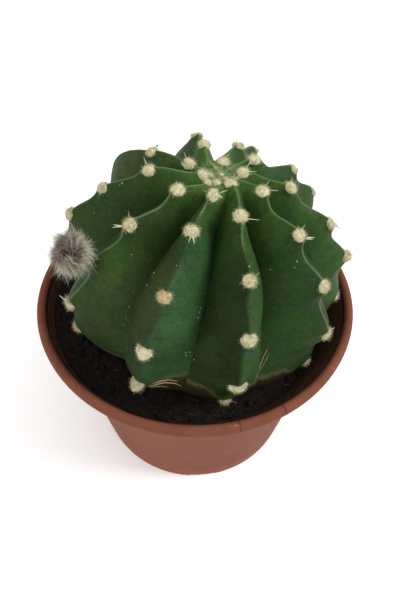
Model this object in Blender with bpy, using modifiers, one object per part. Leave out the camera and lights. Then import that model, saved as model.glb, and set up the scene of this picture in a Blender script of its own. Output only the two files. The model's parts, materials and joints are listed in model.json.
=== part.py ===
"""Potted domino cactus: a ribbed globe with woolly areoles, a furry flower bud, soil and a plastic pot.

Units are metres and +Z is up. The origin is on the pot's axis, at the level the pot stands on.
Azimuths are in degrees, anticlockwise seen from above, with 0 at +X and 270 at the front.
"""

import math
import random
from collections import namedtuple

import bmesh
import bpy
from mathutils import Matrix, Vector, noise

MM = 0.001
CLEARANCE = 0.3 * MM

# Pot: an injection moulded plastic pot with a rolled lip, a collar, a foot ring and drain holes.
POT_HEIGHT = 80 * MM
RIM_RADIUS = 60 * MM
LIP_WIDTH = 3.3 * MM
LIP_HEIGHT = 3.7 * MM
COLLAR_RADIUS = 57.2 * MM
COLLAR_TOP = 75.4 * MM
COLLAR_FOOT_RADIUS = 55.5 * MM
COLLAR_FOOT = 72.0 * MM
SHOULDER_RADIUS = 52 * MM
SHOULDER_HEIGHT = 68.8 * MM
FOOT_RADIUS = 45.4 * MM
FOOT_WIDTH = 3.4 * MM
FOOT_HEIGHT = 2.2 * MM
WALL = 1.2 * MM
POT_STEPS = 56
NOTCH_COUNT = 6
NOTCH_AZIMUTH = -85
NOTCH_WIDTH = 11.5 * MM
NOTCH_HEIGHT = 1.7 * MM
DRAIN_RING_RADIUS = 30 * MM
DRAIN_RADIUS = 4 * MM

# Soil: fills the pot to a little under the rim, lower on the right, with a plain hole for the root neck.
SOIL_LEVEL = 71.1 * MM
SOIL_SLOPE = 0.045
SOIL_RELIEF = 0.7 * MM
SOIL_GRAIN = 6 * MM
SOIL_DISH = 1.2 * MM
SOIL_DISH_WIDTH = 9 * MM

# Cactus body: the turned profile that the rib crests follow, from the sunken top to the soil.
BODY_RADIUS = 50.9 * MM
BODY_RISE = 43.7 * MM
BODY_CENTRE = 92.1 * MM
BODY_FULLNESS = 1.14
DIMPLE_DEPTH = 5 * MM
DIMPLE_RADIUS = 10.7 * MM
TOP_ANGLE = 0.01
UNDERSIDE_START = 1.93
UNDERSIDE_DROP = 2.5 * MM
UNDERSIDE_REACH = 9 * MM
UNDERSIDE_RISE = 0.8 * MM
NECK_RADIUS = 27 * MM
NECK_TOP = 69.0 * MM
NECK_BOTTOM = 56 * MM
ROOT_TIP_RADIUS = 14 * MM
LEAN_PIVOT = Vector((0, 0, 62 * MM))
BODY_SHIFT = Vector((-0.5 * MM, 0, 0))
LEAN_RIGHT = math.radians(6.3)

# Ribs: how far the valleys lie below the crests, and how the crest steps down under each areole.
VALLEY_DEPTH = 12.5 * MM
VALLEY_STARTS = 0.09
VALLEY_OPENS_OVER = 0.22
VALLEY_FADES_FROM = 1.15
AVERAGE_GAP = 36
FLANK_BULGE = 1.18
CREST_SHARP = 0.03
CREST_BLUNT = 0.055
CHIN_DEPTH = 3.4 * MM
CHIN_SKEW = 0.6
CHIN_SPACING = 0.36
AREOLE_SHELF = 0.045

# Each rib: its azimuth, how many degrees it swings round for each radian down the profile, how deep
# its crest steps in under each areole as a share of CHIN_DEPTH, how deep the valley after it still is
# at the base as a share of VALLEY_DEPTH, and where its areoles sit, as the profile's angle from the
# top in radians.
Rib = namedtuple("Rib", "azimuth swing chin hollow areoles")
RIBS = {
    "right": Rib(-6, -2, 0.7, 0.35, (0.17, 0.50, 0.89, 1.22, 1.66, 1.90)),
    "right_back": Rib(31, 0, 0.7, 0.35, (0.31, 0.69, 1.08, 1.46, 1.85)),
    "back_right": Rib(66, -2, 0.8, 0.35, (0.15, 0.39, 0.88, 1.27, 1.67, 1.93)),
    "back": Rib(100, -8, 0.6, 0.35, (0.33, 0.63, 1.05, 1.46, 1.86)),
    "back_left": Rib(139.5, -22, 0.15, 0.35, (0.24, 0.54, 1.4, 1.63, 1.86)),
    "left": Rib(178, -7, 0.35, 0.35, (0.14, 0.49, 0.82, 1.19, 1.60, 1.92)),
    "bud": Rib(214, -8, 0.8, 0.4, (0.39, 0.73, 1.04, 1.48, 1.88)),
    "front_left": Rib(249, -4, 0.8, 0.2, (0.30, 0.58, 0.97, 1.36, 1.80)),
    "front": Rib(283, -3, 0.8, 0.1, (0.14, 0.45, 0.82, 1.17, 1.59, 1.92)),
    "front_right": Rib(321, -2, 0.9, 0.35, (0.34, 0.68, 1.04, 1.44, 1.84)),
}
# Spans of a crest with a step of their own: the rib, the areole above, and the share of CHIN_DEPTH.
OWN_CHINS = {("back_left", 1): -0.25, ("front", 0): 0.35}
# Valleys that don't stay midway between their ribs: the rib before, how far over as a share of the
# gap, and the angles between which they move there.
Shift = namedtuple("Shift", "share starts ends")
VALLEY_SHIFTS = {"front": Shift(-0.22, 0.6, 1.75), "bud": Shift(0.22, 1.1, 1.8)}
SWING_CENTRE = 1.2
# Degrees that the ribs wind round at the very top, out to an angle where it has faded.
CROWN_TWIST = 14
CROWN_TWIST_ENDS = 0.45
BUD_RIB = "bud"
BUD_AREOLE = 2

# Columns across half a rib, as shares of the way from the crest to the valley.
HALF_RIB = (0.0, 0.09, 0.36, 0.7)
BODY_ROWS = 28
UNDERSIDE_ROWS = 4

# Areoles: cushions of wool on the crests, larger low down, some with a short pale spine.
AREOLE_RADIUS = 2.4 * MM
AREOLE_GROWTH = 0.2
AREOLE_THICKNESS = 1.6 * MM
CROWN_WOOL_SIZE = 1.05
WOOL_LUMPS = 0.1
WOOL_SEED = 23
SPINE_RADIUS = 0.36 * MM
SPINE_TIP_RADIUS = 0.14 * MM
SPINE_LIFT = math.radians(24)
SPINE_ROOT = 1.0 * MM
SPINE_CHANCE = 0.45
# The spines that show in front: rib, areole, clock angle (0 points up the rib), length.
FRONT_SPINES = (
    ("bud", 1, -148, 5.6 * MM),
    ("front", 1, 125, 5.0 * MM),
    ("front_right", 1, 137, 4.2 * MM),
    ("front_left", 1, 140, 4.2 * MM),
    ("left", 1, 86, 4.2 * MM),
    ("left", 1, -126, 4.0 * MM),
    ("bud", 3, -112, 3.6 * MM),
    ("right_back", 0, -46, 3.8 * MM),
)
PLAIN_RIBS = ("right", "back_right", "back", "back_left")

# Flower bud: a furry ball on a short stalk, out to the left from its areole.
BUD_DIRECTION = Vector((-0.66, -0.36, 0.66))
BUD_REACH = 7.3 * MM
BUD_RADIUS = 5.1 * MM
BUD_STALK_RADIUS = 2.2 * MM
BUD_HAIR_COUNT = 96
BUD_HAIR_LENGTH = 2.1 * MM
BUD_HAIR_RADIUS = 0.75 * MM
BUD_HAIR_SWEEP = 0.4
BUD_SEED = 11

# A column of the skin: its azimuth at SWING_CENTRE, the share of the way from crest to valley, the
# gap to the next rib in degrees, its swing, the rib that its valley comes after, and the chins and
# areoles of its rib.
Column = namedtuple("Column", "azimuth across gap swing valley chins areoles")

GOLDEN_ANGLE = math.pi * (3 - math.sqrt(5))

COLOURS = {
    "pot": ((0.252, 0.098, 0.063, 1), 0.5),
    "soil": ((0.009, 0.007, 0.005, 1), 0.95),
    "cactus": ((0.035, 0.088, 0.028, 1), 0.55),
    "flower_bud": ((0.17, 0.135, 0.115, 1), 0.9),
}


def clear_scene():
    for obj in list(bpy.data.objects):
        bpy.data.objects.remove(obj)


def make_collection(name):
    collection = bpy.data.collections.new(name)
    bpy.context.scene.collection.children.link(collection)
    return collection


def make_material(name):
    colour, roughness = COLOURS[name]
    material = bpy.data.materials.new(name)
    material.use_nodes = True
    shader = material.node_tree.nodes["Principled BSDF"]
    shader.inputs["Base Color"].default_value = colour
    shader.inputs["Roughness"].default_value = roughness
    shader.inputs["Metallic"].default_value = 0.0
    return material


def link_mesh(name, mesh, collection):
    obj = bpy.data.objects.new(name, mesh)
    collection.objects.link(obj)
    return obj


def mesh_object(name, bm, collection):
    """Turns a bmesh into a linked object and frees the bmesh."""
    mesh = bpy.data.meshes.new(name)
    bm.to_mesh(mesh)
    bm.free()
    return link_mesh(name, mesh, collection)


def turned(name, profile, steps, collection):
    """Turns a profile of (radius, height) points about Z. Its outer side runs from top to bottom."""
    points = [(radius, 0, height) for radius, height in profile]
    edges = [(i, i + 1) for i in range(len(points) - 1)]
    mesh = bpy.data.meshes.new(name)
    mesh.from_pydata(points, edges, [])
    obj = link_mesh(name, mesh, collection)
    screw = obj.modifiers.new("turn", "SCREW")
    screw.steps = steps
    screw.render_steps = steps
    screw.use_merge_vertices = True
    screw.merge_threshold = 0.00001
    screw.use_normal_calculate = False
    return obj


def apply_modifiers(obj):
    """Gives the object its evaluated mesh, and takes the modifiers off."""
    depsgraph = bpy.context.evaluated_depsgraph_get()
    mesh = bpy.data.meshes.new_from_object(obj.evaluated_get(depsgraph))
    obj.modifiers.clear()
    obj.data = mesh
    return obj


def body_volume(faces):
    """Volume inside a closed set of faces."""
    total = 0.0
    for face in faces:
        corners = [vert.co for vert in face.verts]
        for i in range(1, len(corners) - 1):
            total += corners[0].dot(corners[i].cross(corners[i + 1])) / 6
    return total


def keep_main_body(obj):
    """Deletes every loose scrap and sealed hollow that a union left, and keeps the largest body."""
    bm = bmesh.new()
    bm.from_mesh(obj.data)
    bmesh.ops.triangulate(bm, faces=bm.faces)
    unseen = set(bm.faces)
    bodies = []
    while unseen:
        stack = [unseen.pop()]
        body = set(stack)
        while stack:
            for edge in stack.pop().edges:
                for face in edge.link_faces:
                    if face in unseen:
                        unseen.discard(face)
                        body.add(face)
                        stack.append(face)
        bodies.append(body)
    bodies.sort(key=lambda faces: abs(body_volume(faces)), reverse=True)
    scraps = [face for body in bodies[1:] for face in body]
    bmesh.ops.delete(bm, geom=scraps, context="FACES")
    bm.to_mesh(obj.data)
    bm.free()


def fuse(obj, repeats, operation="UNION"):
    """Joins every object of the collection of repeats to obj, or cuts them from it, then removes them."""
    joint = obj.modifiers.new("fuse", "BOOLEAN")
    joint.operation = operation
    joint.solver = "EXACT"
    joint.use_self = operation == "UNION"
    joint.operand_type = "COLLECTION"
    joint.collection = repeats
    apply_modifiers(obj)
    for repeat in list(repeats.objects):
        bpy.data.objects.remove(repeat)
    bpy.data.collections.remove(repeats)
    keep_main_body(obj)


def finish_node(obj, name):
    """Names the node, gives it its own material and shades it smooth but for its edges."""
    obj.name = name
    obj.data.materials.clear()
    obj.data.materials.append(make_material(name))
    obj.data.shade_smooth()
    obj.data.set_sharp_from_angle(angle=math.radians(50))


def smooth(low, high, value):
    """Eased step from 0 at low to 1 at high."""
    share = min(1.0, max(0.0, (value - low) / (high - low)))
    return share * share * (3 - 2 * share)


def polar(azimuth, radius, height):
    angle = math.radians(azimuth)
    return Vector((radius * math.cos(angle), radius * math.sin(angle), height))


def pot_inner_wall():
    """Points of the pot's inner wall, (radius, height), from its floor up to the lip."""
    floor = FOOT_HEIGHT + WALL
    corner = 1.0 * MM
    return [
        (FOOT_RADIUS - WALL - corner, floor),
        (FOOT_RADIUS - WALL + 0.1 * corner, floor + corner),
        (SHOULDER_RADIUS - WALL, SHOULDER_HEIGHT + 0.4 * MM),
        (COLLAR_FOOT_RADIUS - WALL, COLLAR_FOOT + 0.5 * MM),
        (COLLAR_RADIUS - WALL, COLLAR_TOP + 0.6 * MM),
        (RIM_RADIUS - LIP_WIDTH, POT_HEIGHT - LIP_WIDTH),
    ]


def pot_inner_radius(height):
    """Radius of the pot's inner wall at a height."""
    wall = pot_inner_wall()
    for (low_radius, low), (high_radius, high) in zip(wall, wall[1:]):
        if low <= height <= high:
            return low_radius + (high_radius - low_radius) * (height - low) / (high - low)
    return wall[0][0]


def pot_profile():
    """The pot's section, from the middle of its floor up the inside, over the lip and down."""
    lip_bottom = POT_HEIGHT - LIP_HEIGHT
    foot_inner = FOOT_RADIUS - FOOT_WIDTH
    lip_half = LIP_WIDTH / 2
    lip_turns = 7
    profile = [(0, FOOT_HEIGHT + WALL), *pot_inner_wall()]
    for i in range(lip_turns):
        angle = math.pi * (1 - i / (lip_turns - 1))
        across = RIM_RADIUS - lip_half + math.cos(angle) * lip_half
        profile.append((across, POT_HEIGHT - lip_half + math.sin(angle) * lip_half))
    profile += [
        (RIM_RADIUS - 0.1 * MM, lip_bottom + 0.8 * MM),
        (RIM_RADIUS - 0.7 * MM, lip_bottom),
        (COLLAR_RADIUS + 0.3 * MM, lip_bottom + 0.2 * MM),
        (COLLAR_RADIUS, COLLAR_TOP),
        (COLLAR_FOOT_RADIUS, COLLAR_FOOT),
        (SHOULDER_RADIUS, SHOULDER_HEIGHT),
        (FOOT_RADIUS, 0.6 * MM),
        (FOOT_RADIUS - 0.6 * MM, 0),
        (foot_inner, 0),
        (foot_inner, FOOT_HEIGHT),
        (0, FOOT_HEIGHT),
    ]
    return profile


def make_pot(parts):
    pot = turned("pot", pot_profile(), POT_STEPS, parts)
    cutters = make_collection("pot_cutters")
    for i in range(NOTCH_COUNT):
        azimuth = math.radians(NOTCH_AZIMUTH + i * 360 / NOTCH_COUNT)
        bm = bmesh.new()
        bmesh.ops.create_cube(bm, size=1)
        bmesh.ops.scale(bm, vec=(3 * FOOT_WIDTH, NOTCH_WIDTH, 2 * NOTCH_HEIGHT), verts=bm.verts)
        bmesh.ops.translate(bm, vec=(FOOT_RADIUS - FOOT_WIDTH / 2, 0, 0), verts=bm.verts)
        bmesh.ops.rotate(bm, matrix=Matrix.Rotation(azimuth, 3, "Z"), verts=bm.verts)
        mesh_object("notch", bm, cutters)
    holes = [(0, 0)] + [(DRAIN_RING_RADIUS, i * 360 / NOTCH_COUNT) for i in range(NOTCH_COUNT)]
    for radius, azimuth in holes:
        bm = bmesh.new()
        bmesh.ops.create_cone(
            bm,
            cap_ends=True,
            segments=16,
            radius1=DRAIN_RADIUS,
            radius2=DRAIN_RADIUS,
            depth=4 * WALL,
        )
        centre = polar(azimuth + NOTCH_AZIMUTH, radius, FOOT_HEIGHT + WALL / 2)
        bmesh.ops.translate(bm, vec=centre, verts=bm.verts)
        mesh_object("drain_hole", bm, cutters)
    fuse(pot, cutters, "DIFFERENCE")
    finish_node(pot, "pot")
    return pot


def soil_height(x, y):
    """Height of the soil's top: a gentle slope and lumps, pressed down round the plant's neck."""
    lumps = noise.noise(Vector((x, y, 0)) / SOIL_GRAIN) * SOIL_RELIEF
    open_height = SOIL_LEVEL - SOIL_SLOPE * x + lumps
    pressed = math.exp(-(((math.hypot(x, y) - NECK_RADIUS) / SOIL_DISH_WIDTH) ** 2))
    return open_height + (NECK_TOP - SOIL_DISH - open_height) * pressed


def soil_edge_radius(azimuth):
    """Radius where the soil's top meets the pot's wall, found by a few rounds of trial."""
    radius = SHOULDER_RADIUS
    for _ in range(4):
        edge = polar(azimuth, radius, 0)
        radius = pot_inner_radius(soil_height(edge.x, edge.y)) - CLEARANCE
    return radius


def make_soil(parts):
    """Soil as a turned block that fills the pot, its top then raised by soil_height."""
    hole_radius = NECK_RADIUS + CLEARANCE
    hole_floor = NECK_BOTTOM - CLEARANCE
    top_rings = 10
    profile = [(0, hole_floor), (hole_radius, hole_floor)]
    for i in range(top_rings):
        share = i / (top_rings - 1)
        profile.append((hole_radius + (SHOULDER_RADIUS - hole_radius) * share, SOIL_LEVEL))
    corners = reversed(pot_inner_wall()[:3])
    profile += [(radius - 1.5 * CLEARANCE, height + CLEARANCE) for radius, height in corners]
    profile.append((0, profile[-1][1]))
    soil = turned("soil", profile, POT_STEPS, parts)
    apply_modifiers(soil)
    for vert in soil.data.vertices:
        if abs(vert.co.z - SOIL_LEVEL) < 0.01 * MM:
            azimuth = math.degrees(math.atan2(vert.co.y, vert.co.x))
            radius = math.hypot(vert.co.x, vert.co.y)
            share = (radius - hole_radius) / (SHOULDER_RADIUS - hole_radius)
            radius = hole_radius + (soil_edge_radius(azimuth) - hole_radius) * share
            vert.co = polar(azimuth, radius, 0)
            vert.co.z = soil_height(vert.co.x, vert.co.y)
    keep_main_body(soil)
    finish_node(soil, "soil")
    return soil


def crest_profile(angle):
    """Radius and height of the smooth profile through the areoles, at its angle from the top."""
    radius = BODY_RADIUS * math.sin(angle) ** BODY_FULLNESS
    sunken = DIMPLE_DEPTH * math.exp(-((radius / DIMPLE_RADIUS) ** 2))
    return Vector((radius, BODY_CENTRE + BODY_RISE * math.cos(angle) - sunken))


def crest_slope(angle):
    """Unit direction down the profile."""
    step = 0.005
    return (crest_profile(angle + step) - crest_profile(angle - step)).normalized()


def valley_share(angle, hollow):
    """How deep a valley is at an angle down the profile, as a share of VALLEY_DEPTH."""
    opening = 1 - math.exp(-((max(0.0, angle - VALLEY_STARTS) / VALLEY_OPENS_OVER) ** 2))
    fading = smooth(VALLEY_FADES_FROM, UNDERSIDE_START, angle)
    return opening * (1 - (1 - hollow) * fading)


def flank_fall(across, angle):
    """How far the flank has dropped, 0 on the crest and 1 in the valley. Low crests are blunter."""
    rounding = CREST_SHARP + (CREST_BLUNT - CREST_SHARP) * smooth(0.5, 1.3, angle)
    level = (across**2 + rounding**2) ** (FLANK_BULGE / 2)
    low = rounding**FLANK_BULGE
    high = (1 + rounding**2) ** (FLANK_BULGE / 2)
    return (level - low) / (high - low)


def rib_chins(name):
    """How deep the crest of a rib steps in under each of its areoles, as shares of CHIN_DEPTH."""
    rib = RIBS[name]
    return [OWN_CHINS.get((name, index), rib.chin) for index in range(len(rib.areoles))]


def chin_drop(angle, areoles, chins):
    """How far the crest lies below the smooth profile: nothing at an areole, most just under it."""
    above = max([a for a in areoles if a <= angle], default=0.0)
    chin = chins[max(0, sum(a <= angle for a in areoles) - 1)]
    below = min([a for a in areoles if a > angle], default=areoles[-1] + CHIN_SPACING)
    spacing = below - above
    share = (angle - above - AREOLE_SHELF) / max(0.05, spacing - 2 * AREOLE_SHELF)
    share = min(1.0, max(0.0, share))
    size = min(1.0, spacing / CHIN_SPACING) * smooth(0.05, 0.5, angle)
    return chin * CHIN_DEPTH * size * math.sin(math.pi * share**CHIN_SKEW)


def valley_shift(name, angle):
    """How far the valley after a rib lies from midway, as a share of the gap."""
    shift = VALLEY_SHIFTS.get(name, Shift(0.0, 0.0, 1.0))
    return shift.share * smooth(shift.starts, shift.ends, angle)


def crown_twist(angle):
    return CROWN_TWIST * (1 - smooth(0.1, CROWN_TWIST_ENDS, angle))


def lean(point):
    """Tips the whole body over a little, as it grew."""
    return LEAN_PIVOT + BODY_SHIFT + Matrix.Rotation(LEAN_RIGHT, 3, "Y") @ (point - LEAN_PIVOT)


def outward_of(slope):
    """The profile's outward normal, from its direction down."""
    return Vector((-slope.y, slope.x))


def skin_point(angle, column):
    """A point of the ribbed skin."""
    fall = flank_fall(column.across, angle)
    hollow = RIBS[column.valley].hollow
    depth = VALLEY_DEPTH * valley_share(angle, hollow) * math.sqrt(column.gap / AVERAGE_GAP) * fall
    depth += chin_drop(angle, column.areoles, column.chins) * (1 - fall)
    point = crest_profile(angle) - outward_of(crest_slope(angle)) * depth
    azimuth = column.azimuth + column.swing * (angle - SWING_CENTRE) + crown_twist(angle)
    azimuth += column.across * column.gap * valley_shift(column.valley, angle)
    return lean(polar(azimuth, point.x, point.y))


def underside_point(tuck, column):
    """A point of the turned-in underside: the ribs run out on the way from the skin's end, at a
    tuck of 0, to the round upright neck, at 1."""
    start = skin_point(UNDERSIDE_START, column)
    before = skin_point(UNDERSIDE_START - 0.02, column)
    bend = start + (start - before).normalized() * UNDERSIDE_DROP
    end = polar(column.azimuth, NECK_RADIUS, NECK_TOP)
    turn = polar(column.azimuth, NECK_RADIUS + UNDERSIDE_REACH, NECK_TOP + UNDERSIDE_RISE)
    rest = 1 - tuck
    return start * rest**3 + 3 * bend * rest**2 * tuck + 3 * turn * rest * tuck**2 + end * tuck**3


def half_rib(name, neighbour_name, side):
    """Columns of one flank of a rib, from its crest to the valley. side is -1 or 1."""
    rib = RIBS[name]
    neighbour = RIBS[neighbour_name]
    gap = (side * (neighbour.azimuth - rib.azimuth)) % 360
    valley_swing = (rib.swing + neighbour.swing) / 2
    valley = name if side > 0 else neighbour_name
    columns = []
    for across in (*HALF_RIB, 1.0):
        azimuth = rib.azimuth + side * across * gap / 2
        swing = rib.swing + (valley_swing - rib.swing) * across
        columns.append(Column(azimuth, across, gap, swing, valley, rib_chins(name), rib.areoles))
    return columns


def rib_columns():
    """Every column of the skin in order round the body."""
    names = list(RIBS)
    columns = []
    for i, name in enumerate(names):
        columns += reversed(half_rib(name, names[i - 1], -1)[1:])
        columns += half_rib(name, names[(i + 1) % len(names)], 1)[:-1]
    return columns


def skin_rings():
    """Rings of points from just under the top down to the root's end."""
    columns = rib_columns()
    rings = []
    for row in range(1, BODY_ROWS + 1):
        angle = UNDERSIDE_START * row / BODY_ROWS
        rings.append([skin_point(angle, column) for column in columns])
    for row in range(1, UNDERSIDE_ROWS + 1):
        tuck = row / UNDERSIDE_ROWS
        rings.append([underside_point(tuck, column) for column in columns])
    neck = ((NECK_RADIUS, NECK_BOTTOM + 4 * MM), (ROOT_TIP_RADIUS, NECK_BOTTOM))
    for radius, height in neck:
        rings.append([polar(column.azimuth, radius, height) for column in columns])
    return rings


def ring_about(middle, axis, radius, count=10):
    """Points of a circle round an axis, in order seen from the axis's end."""
    turn = axis.to_track_quat("Z", "Y").to_matrix()
    return [middle + turn @ polar(i * 360 / count, radius, 0) for i in range(count)]


def loft(name, rings, top, bottom, collection):
    """Closed skin through rings of equal count, with a fan to a point at each end."""
    bm = bmesh.new()
    loops = [[bm.verts.new(point) for point in ring] for ring in rings]
    top_vert = bm.verts.new(top)
    bottom_vert = bm.verts.new(bottom)
    count = len(rings[0])
    for i in range(count):
        j = (i + 1) % count
        bm.faces.new((top_vert, loops[0][i], loops[0][j]))
        for upper, lower in zip(loops, loops[1:]):
            bm.faces.new((upper[i], lower[i], lower[j], upper[j]))
        bm.faces.new((bottom_vert, loops[-1][j], loops[-1][i]))
    bmesh.ops.triangulate(bm, faces=bm.faces)
    return mesh_object(name, bm, collection)


def crest_frame(azimuth, angle):
    """Seat on a crest: its middle, the outward normal, and the way up the rib."""
    seat = crest_profile(angle)
    slope = crest_slope(angle)
    step = 1 * MM
    out = seat + outward_of(slope) * step
    up = seat - slope * step
    middle = lean(polar(azimuth, seat.x, seat.y))
    normal = (lean(polar(azimuth, out.x, out.y)) - middle).normalized()
    upward = (lean(polar(azimuth, up.x, up.y)) - middle).normalized()
    return middle, normal, upward


def areole_frame(name, index):
    """Seat of one of a rib's areoles."""
    rib = RIBS[name]
    angle = rib.areoles[index]
    return crest_frame(rib.azimuth + rib.swing * (angle - SWING_CENTRE) + crown_twist(angle), angle)


def wool_cushion(middle, normal, upward, size, rng, collection):
    """A lumpy cushion of wool, its lower half sunk in the crest."""
    side = upward.cross(normal)
    radius = AREOLE_RADIUS * size
    bm = bmesh.new()
    bmesh.ops.create_uvsphere(bm, u_segments=7, v_segments=4, radius=1)
    for vert in bm.verts:
        lump = 1 + rng.uniform(-WOOL_LUMPS, WOOL_LUMPS)
        across = (side * vert.co.x + upward * vert.co.y) * radius
        out = normal * AREOLE_THICKNESS * size * vert.co.z
        vert.co = middle + (across + out) * lump
    bmesh.ops.triangulate(bm, faces=bm.faces)
    mesh_object("wool", bm, collection)


def spine(middle, normal, upward, clock, length, collection):
    """A short pale spine from the areole, lifted a little off the skin. Clock 0 points up the rib."""
    turn = Matrix.Rotation(math.radians(-clock), 3, normal)
    along = (turn @ upward) * math.cos(SPINE_LIFT) + normal * math.sin(SPINE_LIFT)
    bm = bmesh.new()
    bmesh.ops.create_cone(
        bm,
        cap_ends=True,
        segments=4,
        radius1=SPINE_RADIUS,
        radius2=SPINE_TIP_RADIUS,
        depth=length,
    )
    bmesh.ops.translate(bm, vec=(0, 0, length / 2), verts=bm.verts)
    bmesh.ops.rotate(bm, matrix=along.to_track_quat("Z", "Y").to_matrix(), verts=bm.verts)
    bmesh.ops.translate(bm, vec=middle + normal * SPINE_ROOT, verts=bm.verts)
    mesh_object("spine", bm, collection)


def make_cactus(parts):
    rings = skin_rings()
    top = lean(polar(0, 0, crest_profile(TOP_ANGLE).y))
    bottom = Vector((0, 0, NECK_BOTTOM))
    cactus = loft("cactus", rings, top, bottom, parts)
    rng = random.Random(WOOL_SEED)
    repeats = make_collection("areoles_and_spines")
    for name, rib in RIBS.items():
        for index, angle in enumerate(rib.areoles):
            if (name, index) == (BUD_RIB, BUD_AREOLE):
                continue
            seat = areole_frame(name, index)
            size = 0.92 + AREOLE_GROWTH * smooth(0.2, 1.9, angle)
            wool_cushion(*seat, size, rng, repeats)
            if name in PLAIN_RIBS and rng.random() < SPINE_CHANCE:
                spine(*seat, rng.uniform(60, 300), rng.uniform(4.4, 6.4) * MM, repeats)
    wool_cushion(*crest_frame(0, TOP_ANGLE), CROWN_WOOL_SIZE, rng, repeats)
    for name, index, clock, length in FRONT_SPINES:
        spine(*areole_frame(name, index), clock, length, repeats)
    fuse(cactus, repeats)
    finish_node(cactus, "cactus")
    return cactus


def make_bud(parts):
    """The bud: an egg-shaped core on a stalk, with tufts of hair swept towards its tip."""
    seat, normal, _ = areole_frame(BUD_RIB, BUD_AREOLE)
    axis = BUD_DIRECTION.normalized()
    centre = seat + axis * BUD_REACH
    turn = axis.to_track_quat("Z", "Y").to_matrix()
    bm = bmesh.new()
    bmesh.ops.create_uvsphere(bm, u_segments=16, v_segments=10, radius=BUD_RADIUS)
    bmesh.ops.rotate(bm, matrix=turn, verts=bm.verts)
    bmesh.ops.translate(bm, vec=centre, verts=bm.verts)
    bud = mesh_object("flower_bud", bm, parts)
    repeats = make_collection("bud_hairs")
    root = seat + normal * CLEARANCE
    base = ring_about(root, normal, BUD_STALK_RADIUS)
    neck = ring_about(centre, axis, 1.3 * BUD_STALK_RADIUS)
    loft("stalk", (neck, base), centre, root, repeats)
    rng = random.Random(BUD_SEED)
    for i in range(BUD_HAIR_COUNT):
        height = 1 - 1.7 * (i + 0.5) / BUD_HAIR_COUNT
        ring = math.sqrt(1 - height**2)
        angle = i * GOLDEN_ANGLE
        out = turn @ Vector((ring * math.cos(angle), ring * math.sin(angle), height))
        jitter = Vector([rng.uniform(-0.3, 0.3) for _ in range(3)])
        along = (out + axis * BUD_HAIR_SWEEP + jitter).normalized()
        length = BUD_HAIR_LENGTH * rng.uniform(0.75, 1.2) + BUD_HAIR_RADIUS
        bm = bmesh.new()
        bmesh.ops.create_cone(
            bm,
            cap_ends=True,
            segments=3,
            radius1=BUD_HAIR_RADIUS,
            radius2=BUD_HAIR_RADIUS * 0.2,
            depth=length,
        )
        bmesh.ops.translate(bm, vec=(0, 0, length / 2), verts=bm.verts)
        bmesh.ops.rotate(bm, matrix=along.to_track_quat("Z", "Y").to_matrix(), verts=bm.verts)
        root = centre + out * (BUD_RADIUS - BUD_HAIR_RADIUS)
        bmesh.ops.translate(bm, vec=root, verts=bm.verts)
        mesh_object("hair", bm, repeats)
    fuse(bud, repeats)
    finish_node(bud, "flower_bud")
    return bud


def main():
    clear_scene()
    parts = make_collection("potted_domino_cactus")
    make_pot(parts)
    make_soil(parts)
    make_cactus(parts)
    make_bud(parts)


main()
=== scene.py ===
"""Looks of the potted domino cactus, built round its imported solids.

Lengths are metres, and millimetres where a comment says so. The frame is the solids' own. Azimuths
are in degrees, anticlockwise seen from above, with 0 at +X and 270 at the front. Angles down the
plant's profile are in radians from its top.
"""

import json
import math
import random
from bisect import bisect
from collections import namedtuple

import bmesh
import bpy
import numpy as np
from mathutils import Matrix, Vector, noise

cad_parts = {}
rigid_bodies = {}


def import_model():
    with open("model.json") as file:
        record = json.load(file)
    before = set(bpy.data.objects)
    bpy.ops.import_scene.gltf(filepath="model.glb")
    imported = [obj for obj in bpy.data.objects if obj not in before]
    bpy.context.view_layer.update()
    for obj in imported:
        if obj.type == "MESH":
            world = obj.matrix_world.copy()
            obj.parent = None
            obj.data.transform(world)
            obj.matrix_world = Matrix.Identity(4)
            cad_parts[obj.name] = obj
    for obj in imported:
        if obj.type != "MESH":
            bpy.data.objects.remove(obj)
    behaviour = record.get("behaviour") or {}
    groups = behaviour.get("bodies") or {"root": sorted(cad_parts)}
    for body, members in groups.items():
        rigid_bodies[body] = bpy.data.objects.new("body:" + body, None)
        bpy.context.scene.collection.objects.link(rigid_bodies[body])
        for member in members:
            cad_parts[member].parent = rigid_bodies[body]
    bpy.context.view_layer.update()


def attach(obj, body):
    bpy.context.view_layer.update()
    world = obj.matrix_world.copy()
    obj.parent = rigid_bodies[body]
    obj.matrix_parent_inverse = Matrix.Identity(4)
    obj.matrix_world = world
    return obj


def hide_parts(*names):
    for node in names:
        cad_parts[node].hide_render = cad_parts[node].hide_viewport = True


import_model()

MM = 0.001
BODY = "root"
SEEDS = {"crumbs": 5, "fibres": 6, "specks": 21, "wool": 3, "spines": 9, "bud": 12}

# Pot: the same section as the solid, turned in finer steps.
POT_HEIGHT = 80 * MM
RIM_RADIUS = 60 * MM
LIP_WIDTH = 3.3 * MM
LIP_HEIGHT = 3.7 * MM
LIP_BOTTOM = POT_HEIGHT - LIP_HEIGHT
COLLAR_RADIUS = 57.2 * MM
COLLAR_TOP = 75.4 * MM
COLLAR_FOOT_RADIUS = 55.5 * MM
COLLAR_FOOT = 72.0 * MM
SHOULDER_RADIUS = 52 * MM
SHOULDER_HEIGHT = 68.8 * MM
FOOT_RADIUS = 45.4 * MM
FOOT_WIDTH = 3.4 * MM
FOOT_HEIGHT = 2.2 * MM
WALL = 1.2 * MM
FLOOR_CORNER = 1.0 * MM
POT_STEPS = 168
LIP_TURNS = 13
SHARP_EDGE = math.radians(42)
NOTCH_COUNT = 6
NOTCH_AZIMUTH = -85
NOTCH_WIDTH = 11.5 * MM
NOTCH_HEIGHT = 1.7 * MM
DRAIN_RING_RADIUS = 30 * MM
DRAIN_RADIUS = 4 * MM
DRAIN_SIDES = 32
LIP_MARKS = (284, 299)
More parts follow.
